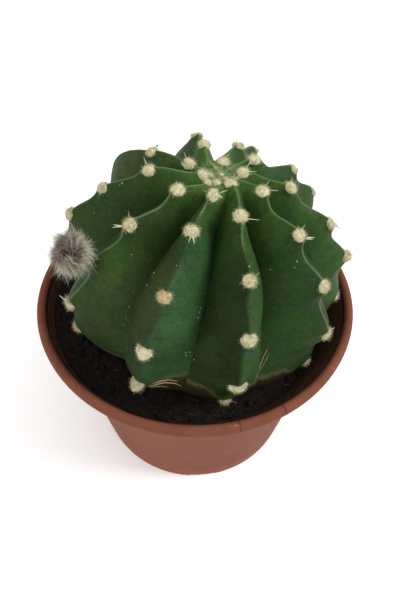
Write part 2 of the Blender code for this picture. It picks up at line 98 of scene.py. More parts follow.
LIP_MARK_WIDTH = 0.35 * MM

# Soil: the same slope and dish as the solid, with finer clods, crumbs and fibres. Each layer of
# clods is its depth and grain in millimetres.
SOIL_LEVEL = 71.1 * MM
SOIL_SLOPE = 0.045
SOIL_RELIEF = 0.7 * MM
SOIL_GRAIN = 6 * MM
SOIL_CLODS = ((0.45, 2.6), (0.25, 1.1))
SOIL_DISH = 1.2 * MM
SOIL_DISH_WIDTH = 9 * MM
SOIL_SPOKES = 240
SOIL_RINGS = 44
SOIL_EDGE_GAP = 0.05 * MM
SOIL_WALL_GAP = 0.1 * MM
SOIL_NECK_GAP = 3 * MM
LOOSE_EDGE_GAP = 1 * MM
CRUMB_COUNT = 1500
FIBRE_COUNT = 170
FIBRE_SAG = -0.25
# The lumps of crumbs and of specks: how strong, a factor that makes each one different, and how
# coarse.
CRUMB_LUMPS = (0.35, 900, 0.6)
SPECK_LUMPS = (0.5, 700, 0.5)

# Cactus body: the turned profile that the rib crests follow, and its fine relief, as depth and
# grain in millimetres.
BODY_RADIUS = 50.9 * MM
BODY_RISE = 43.7 * MM
BODY_CENTRE = 92.1 * MM
BODY_FULLNESS = 1.14
DIMPLE_DEPTH = 5 * MM
DIMPLE_RADIUS = 10.7 * MM
TOP_ANGLE = 0.01
# A short way down the profile, to take slopes over.
NEARBY = 0.005
UNDERSIDE_START = 1.93
UNDERSIDE_DROP = 2.5 * MM
UNDERSIDE_REACH = 9 * MM
UNDERSIDE_RISE = 0.8 * MM
NECK_RADIUS = 27 * MM
NECK_TOP = 69.0 * MM
NECK_BOTTOM = 56 * MM
ROOT_TIP_RADIUS = 14 * MM
ROOT_TIP_HEIGHT = 4 * MM
LEAN_PIVOT = Vector((0, 0, 62 * MM))
BODY_SHIFT = Vector((-0.5 * MM, 0, 0))
LEAN = Matrix.Rotation(math.radians(6.3), 3, "Y")
SKIN_RELIEF = ((0.3, 9), (0.1, 3.2))
BASE_RELIEF = (0.2, 1.6)

# Ribs: the depth of the valleys and the steps of the crests.
VALLEY_DEPTH = 12.5 * MM
VALLEY_STARTS = 0.09
VALLEY_OPENS_OVER = 0.22
VALLEY_FADES_FROM = 1.15
AVERAGE_GAP = 36
FLANK_BULGE = 1.18
CREST_SHARP = 0.03
CREST_BLUNT = 0.055
CHIN_DEPTH = 3.4 * MM
CHIN_SKEW = 0.68
CHIN_EASE = 1.35
CHIN_NARROWS = 2.2
CHIN_SPACING = 0.36
AREOLE_SHELF = 0.045

# Each rib: azimuth, swing in degrees for each radian down the profile, chin depth as a share, the
# depth at the base of the valley after it as a share, the angle where the pale line on its crest
# ends, and the angles of its areoles from the top.
Rib = namedtuple("Rib", "azimuth swing chin hollow line_end areoles")
RIBS = {
    "right": Rib(-6, -2, 0.7, 0.35, 1.7, (0.17, 0.50, 0.89, 1.22, 1.66, 1.90)),
    "right_back": Rib(31, 0, 0.7, 0.35, 1.7, (0.31, 0.69, 1.08, 1.46, 1.85)),
    "back_right": Rib(66, -2, 0.8, 0.35, 1.5, (0.15, 0.39, 0.88, 1.27, 1.67, 1.93)),
    "back": Rib(100, -8, 0.6, 0.35, 1.5, (0.33, 0.63, 1.05, 1.46, 1.86)),
    "back_left": Rib(139.5, -22, 0.15, 0.35, 1.2, (0.24, 0.54, 1.4, 1.63, 1.86)),
    "left": Rib(178, -7, 0.35, 0.35, 1.6, (0.14, 0.49, 0.82, 1.19, 1.60, 1.92)),
    "bud": Rib(214, -8, 0.8, 0.4, 1.5, (0.39, 0.73, 1.04, 1.48, 1.88)),
    "front_left": Rib(249, -4, 0.8, 0.2, 0.35, (0.30, 0.58, 0.97, 1.36, 1.80)),
    "front": Rib(283, -3, 0.8, 0.1, 0.5, (0.14, 0.45, 0.82, 1.17, 1.59, 1.92)),
    "front_right": Rib(321, -2, 0.9, 0.35, 1.5, (0.34, 0.68, 1.04, 1.44, 1.84)),
}
# Spans of a crest with a step of their own: the rib, the areole above, and the share of CHIN_DEPTH.
OWN_CHINS = {("back_left", 1): -0.25, ("front", 0): 0.35}
# Valleys that don't stay midway between their ribs: the rib before, how far over as a share of the
# gap, and the angles between which they move there.
Shift = namedtuple("Shift", "share starts ends")
VALLEY_SHIFTS = {"front": Shift(-0.22, 0.6, 1.75), "bud": Shift(0.22, 1.1, 1.8)}
NO_SHIFT = Shift(0.0, 0.0, 1.0)
SWING_CENTRE = 1.2
# Degrees that the ribs wind round at the very top, and the angles between which that fades.
CROWN_TWIST = 14
CROWN_TWIST_FADES = (0.1, 0.45)
BUD_SEAT = ("bud", 2)
HALF_RIB_STEPS = 13
BODY_ROWS = 168
UNDERSIDE_ROWS = 14

# Skin: broad tints as 0 to 255 numbers.
DEEP_GREEN = (38, 60, 23)
YOUNG_GREEN = (58, 88, 35)
# Painted shade: a darker green for flanks that face away from the light.
PAINTED_SHADE_GREEN = (28, 45, 16)
GLOW_GREEN = (53, 80, 25)
# Painted light: a lighter green that lifts the shade in the valley left of the front_right rib.
PAINTED_LIGHT_GREEN = (43, 64, 29)
# Painted shade: a darker olive for the flanks down in the valley beside the bud rib.
PAINTED_SHADE_OLIVE = (29, 38, 16)
OLIVE = (56, 66, 33)
YOUNG_UNTIL = 0.75
YOUNG_FADES_OVER = 0.6
LINE_WIDTH = 0.75 * MM
LINE_FADES_OVER = 0.3
# The angles between which the skin goes over into dry brown bark, and the bark's strength at the
# root. The bark's dark brown is partly painted shade of the underside.
CORK_SPAN = (1.78, 1.95)
ROOT_CORK = 1.2
# How far from a crest, as a share of the way to the valley, the tints of its flanks mix.
CREST_BLEND = 0.05
# Flanks with looks of their own, by rib and side: tint, how much higher the dry brown base reaches
# in the valley, in radians, and patches: across, angle, width in millimetres, strength, tint. The
# tints and patches are partly the skin's own greens and olives and partly painted light and shade:
# flanks that face away from the light are painted darker, flanks that face it lighter, and some
# valleys lighter against their shade.
Flank = namedtuple("Flank", "tint cork patches")
PLAIN_FLANK = Flank(DEEP_GREEN, 0.0, ())
FLANKS = {
    ("front", -1): Flank((23, 38, 12), 0.15, (
        (0.6, 0.6, 7, 0.7, DEEP_GREEN),
        # Painted shade on the lower left flank of the front rib.
        (0.5, 1.42, 9, 0.7, (16, 26, 5)),
    )),
    ("front", 1): Flank((39, 63, 29), 0.13, ((0.4, 1.4, 8, 0.5, DEEP_GREEN),)),
    ("front_left", 1): Flank((42, 68, 34), 0.23, (
        # Painted light: a lighter, bluer patch where this flank faces the light.
        (0.45, 1.1, 9, 0.9, (48, 78, 44)),
        (0.65, 1.5, 9, 0.8, (33, 54, 26)),
    )),
    ("front_left", -1): Flank((40, 52, 27), 0.0, (
        (0.4, 1.45, 7, 0.7, PAINTED_SHADE_OLIVE),
        (0.5, 0.85, 6, 0.5, OLIVE),
    )),
    ("bud", 1): Flank((41, 58, 25), 0.0, (
        (0.44, 0.66, 8, 0.9, PAINTED_SHADE_GREEN),
        (0.4, 1.0, 9, 0.65, GLOW_GREEN),
        (0.85, 1.15, 7, 0.9, (55, 71, 40)),
        (0.5, 1.7, 9, 0.9, PAINTED_SHADE_OLIVE),
    )),
    ("front_right", -1): Flank((31, 51, 21), 0.17, (
        (0.55, 0.57, 8, 0.5, GLOW_GREEN),
        (0.85, 1.25, 8, 0.8, PAINTED_LIGHT_GREEN),
        (0.8, 0.95, 7, 0.9, PAINTED_LIGHT_GREEN),
    )),
    ("front_right", 1): Flank((24, 41, 15), 0.0, ()),
    ("right", -1): Flank((42, 68, 26), 0.0, ()),
    ("left", 1): Flank((38, 55, 22), 0.0, ((0.8, 0.57, 7, 0.8, PAINTED_SHADE_GREEN),)),
    ("back_left", 1): Flank((42, 60, 26), 0.0, ((0.3, 0.78, 9, 0.7, OLIVE),)),
}
# Dry scars: rib, side, half thickness in millimetres, then (across, angle) points along them.
SCARS = (
    ("front_left", 1, 0.26,
     ((0.12, 1.85), (0.3, 1.79), (0.44, 1.735), (0.56, 1.715), (0.76, 1.735), (0.95, 1.79))),
    ("front_left", 1, 0.2, ((0.3, 1.75), (0.44, 1.7), (0.6, 1.68), (0.85, 1.715))),
    ("front_left", 1, 0.16, ((0.2, 1.86), (0.4, 1.79), (0.52, 1.775), (0.66, 1.8))),
    ("front_right", -1, 0.12, ((0.9, 1.46), (0.95, 1.52), (0.99, 1.6), (0.99, 1.67))),
    ("front_right", -1, 0.08, ((0.87, 1.49), (0.91, 1.55), (0.96, 1.61), (0.98, 1.66))),
    ("front", 1, 0.09, ((0.98, 1.65), (0.9, 1.69), (0.82, 1.72))),
)
SCAR_STEPS = 8
SCAR_SIDES = 6
# Lint and dry specks: rib and side, then across, angle and size in millimetres.
SPECKS = (
    ("front_left", -1, ((0.8, 0.885, 0.42), (0.76, 0.91, 0.2), (0.78, 0.988, 0.3))),
    ("front_left", 1, ((0.9, 1.03, 0.2), (0.89, 1.06, 0.26), (0.89, 1.11, 0.24), (0.81, 1.42, 0.2))),
    ("front_left", 1, ((0.83, 1.45, 0.15), (0.9, 1.43, 0.2), (0.94, 1.47, 0.13))),
    ("front", -1, ((0.96, 1.5, 0.18),)),
    ("front_left", -1, ((0.06, 0.781, 0.2),)),
    ("front_right", -1, ((0.22, 0.816, 0.3), (0.32, 0.845, 0.26), (0.78, 0.793, 0.28))),
    ("bud", 1, ((0.44, 0.862, 0.2),)),
    ("front_left", -1, ((0.96, 1.17, 0.16),)),
    ("bud", 1, ((0.94, 1.28, 0.22), (0.92, 1.33, 0.14), (0.95, 1.39, 0.17), (0.93, 1.46, 0.22))),
    ("front", 1, ((0.03, 0.74, 0.24),)),
    ("front_left", 1, ((0.04, 0.4, 0.14), (0.07, 0.43, 0.2), (0.05, 0.46, 0.15), (0.09, 0.48, 0.17))),
    ("left", 1, ((0.1, 0.68, 0.3), (0.13, 0.7, 0.2))),
)
FINE_SPECK_COUNT = 260

# Areoles: cushions of wool with short hairs. Locks and hairs: how many, how straight, then the
# shortest, longest, thinnest and thickest in millimetres.
AREOLE_RADIUS = 2.3 * MM
AREOLE_GROWTH = 0.2
AREOLE_THICKNESS = 1.6 * MM
AREOLE_SINK = 0.7 * MM
WOOL = ((420, 0.9, 0.3, 0.7, 0.045, 0.08), (560, 0.8, 0.6, 1.3, 0.022, 0.036))
# How far out in the cushion the hairs start, and the height on it where low ones turn flat. For
# its colour the cushion counts as that share of the way from a hair's root to its tip.
WOOL_ROOT = 0.86
FLAT_TOP = 0.35
CUSHION_TIP = 0.3
# Tufts with a form of their own, by rib and areole: width, height, thickness and how golden.
Look = namedtuple("Look", "width height thickness gold")
PLAIN_LOOK = Look(1, 1, 1, 0)
TUFT_LOOKS = {
    "front_left": {0: (0.8, 1.3, 1.0, 0.1), 1: (1.0, 0.88, 1.0, 0.2), 2: (0.88, 0.88, 0.95, 1.0),
                   3: (0.95, 1.4, 1.5, 0.1), 4: (0.85, 1.0, 2.0, 0.0)},
    "front": {1: (1.0, 1.0, 1.0, 0.1), 2: (0.9, 0.9, 1.0, 0.3), 4: (1.1, 0.9, 1.1, 0.0),
              5: (0.7, 0.8, 1.2, 0.3)},
    "front_right": {1: (1.0, 1.0, 1.0, 0.3), 2: (1.0, 0.95, 1.0, 0.3), 4: (0.7, 0.7, 1.0, 0.5)},
    "left": {2: (0.92, 0.92, 1.0, 0.0), 3: (0.95, 1.1, 1.4, 0.0)},
    "bud": {1: (0.95, 0.95, 1.0, 0.5), 4: (0.9, 1.2, 1.2, 0.9)},
    "back": {1: (1.0, 1.0, 0.6, 0.0), 2: (0.6, 0.6, 0.5, 0.0)},
    "back_left": {1: (0.95, 0.95, 1.0, 0.4)},
    "back_right": {1: (1.0, 1.0, 0.6, 0.0), 2: (1.0, 1.0, 0.6, 0.3)},
    "right_back": {1: (1.0, 1.0, 0.8, 0.2), 2: (1.0, 1.0, 0.8, 0.3)},
    "right": {2: (1.0, 1.0, 0.8, 0.3), 3: (1.0, 1.0, 1.8, 0.2)},
}
# Extra tufts of wool at the top: azimuth, angle and size. Loose hairs stand among them.
CROWN_TUFTS = (
    (0, 0.01, 0.6), (205, 0.1, 0.7), (255, 0.13, 0.7), (235, 0.17, 0.6), (120, 0.08, 0.5), (300, 0.08, 0.6))
CROWN_AGE = 0.08
CROWN_HAIRS = 420
CROWN_HAIR_TINT = 0.1
CROWN_ANGLE = 0.14

# The spines that show in front, by rib and areole: where on the areole's edge each starts and
# which way it points (clock angles, 0 is up the rib), length and thickness in millimetres, and how
# brown it is.
FRONT_SPINES = {
    ("front", 1): ((142, 122, 3.6, 0.17, 0.0), (205, 180, 2.0, 0.16, 0.1)),
    ("front_right", 1): ((165, 122, 2.4, 0.26, 0.0), (175, 138, 2.0, 0.2, 0.0), (300, 305, 1.6, 0.15, 0.1)),
    ("bud", 1): ((205, 228, 2.0, 0.3, 0.0), (205, 210, 2.3, 0.3, 0.0)),
    ("front_left", 1): ((150, 145, 2.6, 0.2, 0.1), (165, 175, 2.2, 0.15, 0.1)),
    ("front_left", 0): ((134, 134, 2.6, 0.3, 0.0), (80, 69, 1.8, 0.14, 0.0)),
    ("left", 1): ((254, 254, 2.4, 0.14, 0.0), (89, 89, 2.4, 0.18, 0.0), (110, 120, 2.0, 0.12, 0.1)),
    ("back_left", 0): ((100, 96, 1.2, 0.18, 0.9), (118, 116, 1.4, 0.2, 1.0), (136, 136, 1.5, 0.2, 0.9),
                       (154, 158, 1.3, 0.18, 1.0)),
    ("back_left", 1): ((-45, -30, 0.4, 0.36, 1.3),),
    ("front_right", 0): ((157, 157, 2.0, 0.2, 0.5),),
    ("right", 0): ((223, 223, 3.2, 0.14, 0.0), (143, 143, 2.8, 0.14, 0.0)),
    ("right", 1): ((298, 298, 1.8, 0.14, 0.3),),
    ("right", 2): ((170, 150, 1.6, 0.2, 1.2), (185, 190, 1.8, 0.2, 1.2), (150, 120, 1.4, 0.16, 1.1)),
    ("front", 0): ((80, 80, 2.4, 0.14, 0.0), (100, 105, 2.6, 0.14, 0.0), (60, 50, 2.2, 0.12, 0.0)),
    ("front", 5): ((90, 70, 1.8, 0.16, 1.0), (90, 95, 2.2, 0.16, 1.0), (80, 120, 1.8, 0.14, 0.8)),
    ("bud", 3): ((265, 265, 2.4, 0.2, 0.2),),
    ("right_back", 0): ((-46, -46, 3.8, 0.16, 0.0),),
}
SPINE_LIFT = math.radians(24)
SPINE_ROOT = 0.5 * MM
SMALL_SPINES = 3
SMALL_SPINE_CHANCE = 0.35
# Their thickness in millimetres, and how brown they are.
SMALL_SPINE_LOOK = (0.09, 0.2)

# Flower bud: a woolly ball on a short stalk, out to the left from its areole. The directions from
# its middle say where its hair parts, is tan, is long, is thin, lies hollow, and where it sweeps.
# Along the parting and in the hollows the hair is shorter and painted darker as shade.
BUD_DIRECTION = Vector((-0.66, -0.36, 0.66))
BUD_REACH = 7.3 * MM
BUD_RADIUS = 5.1 * MM
BUD_CORE = 0.78
BUD_RINGS = 24
BUD_SPOKES = 32
BUD_STALK_RADIUS = 2.2 * MM
BUD_PARTING = Vector((0.7, 0.54, 0.46))
BUD_TAN = Vector((-0.65, 0.05, 0.75))
BUD_WISPS = Vector((0.3, 0.75, 0.6))
BUD_THIN = Vector((-0.7, -0.5, -0.5))
BUD_SHADED_HOLLOWS = (Vector((0.76, -0.42, 0.5)), Vector((0.25, -0.95, 0.0)), Vector((-0.65, 0.0, 0.76)))
BUD_RISE = Vector((-0.7, 0.54, 0.45))
BUD_SWIRL = 22.9
BUD_HAIR_ROOT = 0.72
BUD_LOCKS = 260
HAIRS_PER_LOCK = 27

# Camera: where the photograph was taken from, and how it was turned.
CAMERA_PLACE = Vector((0.25 * MM, -116.5 * MM, 210.3 * MM))
CAMERA_HEADING = math.radians(-0.732)
CAMERA_DOWN = math.radians(50.07)
CAMERA_ROLL = math.radians(1.296)
CAMERA_LENS = 27.12
CAMERA_NEAR = 10 * MM

# Lights: place, size and power. The world's strength at the horizon and straight above.
LIGHTS = {"key": ((0.75, -0.05, 0.6), 0.45, 7.5), "fill": ((-0.7, -0.45, 0.5), 0.6, 4.0)}
LIGHT_AIM = Vector((0, 0, 0.09))
WORLD_LOW = 0.2
WORLD_HIGH = 1.25
FLOOR_RADIUS = 4

Column = namedtuple("Column", "rib side across azimuth gap swing valley")
Strand = namedtuple("Strand", "root along bend length radius tint")
GOLDEN_ANGLE = math.pi * (3 - math.sqrt(5))
WOOL_ROWS = (0.0, 0.75)
HAIR_ROWS = (0.0, 0.3, 0.6, 0.85)


def smooth(low, high, value):
    """Eased step from 0 at low to 1 at high."""
    share = min(1.0, max(0.0, (value - low) / (high - low)))
    return share * share * (3 - 2 * share)


def polar(azimuth, radius, height):
    angle = math.radians(azimuth)
    return Vector((radius * math.cos(angle), radius * math.sin(angle), height))


def noise_at(point, grain):
    return noise.noise(point / grain)


def relief(point, *layers):
    """Sum of noises, each of a depth and a grain in millimetres."""
    return sum(depth * MM * noise_at(point, grain * MM) for depth, grain in layers)


def random_direction(rng):
    return Vector([rng.gauss(0, 1) for _ in range(3)]).normalized()


def link(name, data):
    obj = bpy.data.objects.new(name, data)
    bpy.context.scene.collection.objects.link(obj)
    return obj


def keep(obj, slot, material, *replaced):
    """Gives a piece its material, fixes it to the body it rides on and hides the parts it stands for.
    The slot is not used.
    """
    obj.data.materials.clear()
    obj.data.materials.append(material)
    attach(obj, BODY)
    if replaced:
        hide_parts(*replaced)


def mesh_object(name, points, faces):
    mesh = bpy.data.meshes.new(name)
    mesh.from_pydata(points, [], faces)
    mesh.update()
    mesh.shade_smooth()
    return link(name, mesh)


def shape_mesh(name, make, **settings):
    """A mesh from one of bmesh's own shape calls."""
    bm = bmesh.new()
    make(bm, **settings)
    mesh = bpy.data.meshes.new(name)
    bm.to_mesh(mesh)
    bm.free()
    return mesh


def from_lowest(side):
    """The same face, told from its lowest corner on."""
    start = side.index(min(side))
    return side[start:] + side[:start]


def ball(make, **settings):
    """Corners and faces of a ball of radius 1. The faces are sorted, since Blender's order of them
    can change from run to run."""
    mesh = shape_mesh("ball", make, radius=1, **settings)
    corners = [vert.co.copy() for vert in mesh.vertices]
    sides = sorted(from_lowest(tuple(face.vertices)) for face in mesh.polygons)
    bpy.data.meshes.remove(mesh)
    return corners, sides


class Piece:
    """Points and faces of one mesh, gathered part by part."""

    def __init__(self):
        self.points = []
        self.faces = []

    def add(self, points, faces):
        start = len(self.points)
        self.points += points
        self.faces += [tuple(start + corner for corner in face) for face in faces]

    def add_grain(self, grain, spot, turn, stretch, size, roughness, seed, lumps):
        """A small stretched, turned and lumpy ball."""
        corners, sides = grain
        points = []
        for corner in corners:
            lump = 1 + roughness * noise_at(corner + spot * seed, lumps)
            points.append(spot + turn @ (corner * stretch) * size * lump)
        self.add(points, sides)

    def build(self, name):
        return mesh_object(name, self.points, self.faces)


def ring_faces(rings, count):
    """Quads between rings of points that are laid out one ring after another."""
    faces = []
    for ring in range(rings - 1):
        for i in range(count):
            low = ring * count + i
            high = ring * count + (i + 1) % count
            faces.append((low, low + count, high + count, high))
    return faces


def closed_faces(rings, count):
    """The same, with a fan from the first ring to the point after all rings, and one from the last
    ring to the point after that."""
    middle = rings * count
    last = middle - count
    turns = [(i, (i + 1) % count) for i in range(count)]
    faces = ring_faces(rings, count)
    faces += [(middle, i, j) for i, j in turns]
    faces += [(middle + 1, last + j, last + i) for i, j in turns]
    return faces


def set_values(obj, name, values):
    """Stores one number for each vertex under a name that a material can read."""
    layer = obj.data.attributes.new(name, "FLOAT", "POINT")
    layer.data.foreach_set("value", np.asarray(values, dtype=np.float32))


def set_colours(obj, name, colours):
    """Stores one colour for each vertex under a name that a material can read."""
    layer = obj.data.attributes.new(name, "FLOAT_COLOR", "POINT")
    rows = np.ones((len(colours), 4), dtype=np.float32)
    rows[:, :3] = colours
    layer.data.foreach_set("color", rows.ravel())


def shade(red, green, blue):
    """A colour for a shader, from the usual 0 to 255 numbers."""
    parts = [channel / 255 for channel in (red, green, blue)]
    linear = [p / 12.92 if p <= 0.04045 else ((p + 0.055) / 1.055) ** 2.4 for p in parts]
    return (*linear, 1.0)


class Nodes:
    """A node tree, and short calls that add to it."""

    def __init__(self, tree):
        self.tree = tree

    def join(self, value, socket):
        """Links another node's socket, or sets a plain value."""
        if isinstance(value, bpy.types.NodeSocket):
            self.tree.links.new(value, socket)
        else:
            socket.default_value = value

    def add(self, kind, inputs, **settings):
        node = self.tree.nodes.new("ShaderNode" + kind)
        for key, value in settings.items():
            setattr(node, key, value)
        for key, value in inputs.items():
            self.join(value, node.inputs[key])
        return node


class Paint(Nodes):
    """A material with its Principled shader. Grains and depths are in millimetres. A colour is three
    numbers from 0 to 255, or four plain factors."""

    def __init__(self, name, roughness, specular):
        self.material = bpy.data.materials.new(name)
        self.material.use_nodes = True
        super().__init__(self.material.node_tree)
        self.shader = self.tree.nodes["Principled BSDF"]
        self.set("Roughness", roughness)
        self.set("Specular IOR Level", specular)
        self.place = self.add("TexCoord", {}).outputs["Object"]

    def set(self, socket, value):
        self.join(value, self.shader.inputs[socket])

    def stored(self, name, kind="Fac"):
        """A number stored on the vertices, or with "Color" a colour."""
        return self.add("Attribute", {}, attribute_name=name).outputs[kind]

    def axis(self, letter):
        """One object coordinate."""
        return self.add("SeparateXYZ", {0: self.place}).outputs[letter]

    def noise(self, grain, detail=4, roughness=0.55, stretch=(1, 1, 1)):
        """Soft noise whose lumps are about one grain across."""
        place = self.add("Mapping", {"Vector": self.place, "Scale": stretch}).outputs[0]
        inputs = {"Vector": place, "Scale": 1 / (grain * MM), "Detail": detail, "Roughness": roughness}
        return self.add("TexNoise", inputs).outputs["Fac"]

    def cells(self, grain):
        """Distance to the nearest of scattered points about one grain apart, in grains."""
        return self.add("TexVoronoi", {"Vector": self.place, "Scale": 1 / (grain * MM)}).outputs["Distance"]

    def step(self, value, low, high):
        """Eased step from 0 at low to 1 at high."""
        node = self.add("MapRange", {"Value": value}, interpolation_type="SMOOTHSTEP")
        ends = (min(low, high), max(low, high), low > high, low < high)
        for key, end in zip(("From Min", "From Max", "To Min", "To Max"), ends):
            node.inputs[key].default_value = end
        return node.outputs["Result"]

    def math(self, operation, first, second=0.0):
        return self.add("Math", {0: first, 1: second}, operation=operation).outputs[0]

    def times(self, first, second):
        return self.math("MULTIPLY", first, second)

    def plus(self, first, second):
        return self.math("ADD", first, second)

    def waver(self, size, *grain):
        """Noise to both sides of 0."""
        return self.times(self.math("SUBTRACT", self.noise(*grain), 0.5), size)

    def mix(self, share, first, second, blend="MIX"):
        """Mixes two colours."""
        node = self.add("Mix", {0: share}, data_type="RGBA", blend_type=blend)
        sockets = [socket for socket in node.inputs if socket.type == "RGBA"]
        for colour, socket in zip((first, second), sockets):
            if isinstance(colour, tuple) and len(colour) == 3:
                colour = shade(*colour)
            self.join(colour, socket)
        return [socket for socket in node.outputs if socket.type == "RGBA"][0]

    def coat(self, under, colour, mask, amount):
        """Lays a colour over another where the mask is, as strongly as the amount."""
        return self.mix(self.times(mask, amount), under, colour)

    def bump(self, height, depth, under=None):
        """Relief of a depth, on top of any bump that is under it."""
        inputs = {"Height": height, "Distance": depth * MM}
        if under is not None:
            inputs["Normal"] = under
        return self.add("Bump", inputs).outputs["Normal"]

    def finish(self, colour, normal=None):
        self.set("Base Color", colour)
        if normal is not None:
            self.set("Normal", normal)
        return self.material


def pot_material():
    paint = Paint("pot_plastic", 0.65, 0.05)
    height = paint.axis("Z")

    def at_lip(start, end):
        """Step between two heights, in millimetres from the lip's lower edge."""
        return paint.step(height, LIP_BOTTOM + start * MM, LIP_BOTTOM + end * MM)

    body = paint.mix(paint.noise(22), (124, 73, 54), (112, 65, 46))
    body = paint.mix(paint.step(height, 14 * MM, 0), body, (136, 80, 60))
    lip = paint.mix(paint.noise(9), (114, 68, 51), (98, 57, 43))
    clay = paint.mix(at_lip(-0.3, 0.3), body, lip)
    # Painted shade: a dark band where the lip's lower edge overhangs the body.
    under_lip_shade = paint.times(at_lip(-1.5, -0.3), at_lip(0.9, 0.2))
    clay = paint.coat(clay, (74, 40, 29), under_lip_shade, 0.95)
    dust = paint.step(paint.noise(7, 6, 0.7), 0.5, 0.8)
    clay = paint.coat(clay, (152, 102, 80), dust, 0.2)
    scuff = paint.step(paint.noise(3, 5, 0.7, (0.35, 0.35, 3)), 0.66, 0.74)
    clay = paint.coat(clay, (190, 150, 132), scuff, 0.35)
    around = paint.math("ARCTAN2", paint.axis("Y"), paint.axis("X"))
    for azimuth in LIP_MARKS:
        away = paint.math("ABSOLUTE", paint.math("SUBTRACT", around, math.radians(azimuth - 360)))
        away = paint.math("ABSOLUTE", paint.plus(away, paint.waver(0.012, 2.2)))
        near = paint.step(away, LIP_MARK_WIDTH / RIM_RADIUS, 0.3 * LIP_MARK_WIDTH / RIM_RADIUS)
        clay = paint.coat(clay, (70, 36, 28), paint.times(near, at_lip(-0.4, 0.2)), 0.85)
    # Partly soil dirt and partly painted shade: the inner wall below the lip is darkened.
    dirt_and_shade = paint.mix(paint.noise(2.5, 6, 0.7), (80, 54, 40), (38, 27, 20))
    ragged = paint.plus(paint.stored("inside"), paint.times(paint.noise(4, 5, 0.7), 0.5))
    clay = paint.mix(paint.step(ragged, 0.75, 0.95), clay, dirt_and_shade)
    paint.set("Roughness", paint.plus(paint.times(paint.noise(5, 5), 0.2), 0.55))
    fine = paint.bump(paint.noise(1.1, 5, 0.6), 0.03)
    return paint.finish(clay, paint.bump(paint.noise(14, 3), 0.35, fine))


def soil_material():
    paint = Paint("peat", 0.9, 0.12)
    earth = paint.mix(paint.noise(4, 6, 0.65), (8, 8, 7), (32, 26, 20))
    flecks = paint.step(paint.noise(0.9, 3, 0.6), 0.62, 0.72)
    earth = paint.coat(earth, (66, 50, 39), flecks, 0.5)
    grit = paint.step(paint.noise(1.5, 3, 0.6), 0.66, 0.74)
    earth = paint.coat(earth, (104, 104, 90), grit, 0.45)
    return paint.finish(earth, paint.bump(paint.noise(0.8, 6, 0.7), 0.35))


def fibre_material():
    paint = Paint("peat_fibre", 0.85, 0.2)
    return paint.finish(paint.mix(paint.stored("tint"), (30, 22, 17), (74, 56, 40)))


def skin_material():
    """Waxy green skin: its broad tints come with the vertices, and its fine marks are made here."""
    paint = Paint("cactus_skin", 0.6, 0.06)
    # The stored tint carries the flanks' painted light and shade as well as the skin's own greens.
    tint = paint.stored("tint", "Color")
    soft = paint.noise(9, 5, 0.6)
    warm = paint.step(paint.noise(6, 6, 0.65), 0.35, 0.65)
    tint = paint.mix(0.7, tint, paint.mix(warm, (0.82, 0.96, 1.32, 1), (1.22, 1.05, 0.9, 1)), "MULTIPLY")
    green = paint.mix(paint.step(soft, 0.4, 0.7), tint, paint.mix(0.4, tint, (42, 64, 36)))
    dark = paint.step(paint.noise(4.5, 6, 0.65), 0.46, 0.72)
    green = paint.coat(green, paint.mix(0.6, tint, (20, 32, 11)), dark, 0.5)
    blotches = paint.step(paint.noise(1.3, 5, 0.7), 0.3, 0.7)
    mottle = paint.mix(blotches, (0.72, 0.76, 0.72, 1), (1.25, 1.2, 1.25, 1))
    green = paint.mix(0.8, green, mottle, "MULTIPLY")
    pores = paint.times(paint.step(paint.cells(0.55), 0.22, 0.08), paint.step(paint.noise(6, 3), 0.42, 0.62))
    green = paint.coat(green, (70, 94, 56), pores, 0.3)
    line = paint.step(paint.plus(paint.stored("line"), paint.waver(0.7, 1.2)), 0.2, 1.0)
    green = paint.coat(green, (102, 122, 80), line, 0.5)
    cork = paint.stored("cork")
    edge = paint.waver(paint.step(cork, 0.0, 0.15), 3, 6, 0.7)
    cork = paint.plus(cork, paint.times(edge, 0.9))
    dry = paint.mix(paint.noise(1.5, 6, 0.7), (96, 92, 60), (52, 56, 34))
    green = paint.coat(green, dry, paint.step(cork, 0.15, 0.7), 0.85)
    cork = paint.step(cork, 0.45, 0.9)
    # Dark brown bark, partly real bark and partly painted shade of the plant's underside.
    bark_and_shade = paint.mix(paint.noise(1.3, 6, 0.7), (50, 44, 28), (24, 21, 13))
    green = paint.mix(cork, green, bark_and_shade)
    paint.set("Roughness", paint.plus(paint.times(soft, 0.25), 0.42))
    pits = paint.bump(paint.noise(0.7), 0.03)
    wrinkles = paint.bump(paint.times(cork, paint.noise(1.0, 6, 0.7)), 0.4, pits)
    return paint.finish(green, paint.bump(paint.noise(3.5), 0.12, wrinkles))


def wool_material():
    """Wool of the areoles: cream, browner at its roots and on old areoles, golden here and there."""
    paint = Paint("areole_wool", 0.95, 0.15)
    tint = paint.stored("tint")
    cream = paint.mix(paint.noise(0.8, 3), (216, 213, 174), (188, 180, 136))
    old = paint.mix(paint.noise(0.7, 3), (184, 179, 150), (126, 110, 80))
    wool = paint.mix(paint.step(tint, 0.0, 1.0), cream, old)
    wool = paint.mix(paint.step(tint, 1.2, 1.8), wool, (214, 166, 102))
    root = paint.mix(0.2, wool, (190, 160, 104))
    paint.set("Sheen Weight", 0.25)
    return paint.finish(paint.mix(paint.step(paint.stored("tip"), 0.4, 0.0), wool, root))


def spine_material():
    paint = Paint("spine", 0.5, 0.4)
    horn = paint.mix(paint.noise(0.6, 3), (214, 216, 190), (176, 178, 146))
    brown = paint.mix(paint.noise(0.4, 3), (120, 58, 40), (52, 30, 22))
    colour = paint.mix(paint.step(paint.stored("tint"), 0.2, 1.0), horn, brown)
    return paint.finish(colour, paint.bump(paint.noise(0.3, 3), 0.02))


def bud_core_material():
    paint = Paint("bud_core", 0.9, 0.2)
    brown = paint.mix(paint.noise(1.5, 5, 0.7), (62, 46, 40), (34, 25, 22))
    return paint.finish(brown, paint.bump(paint.noise(0.9, 5), 0.3))


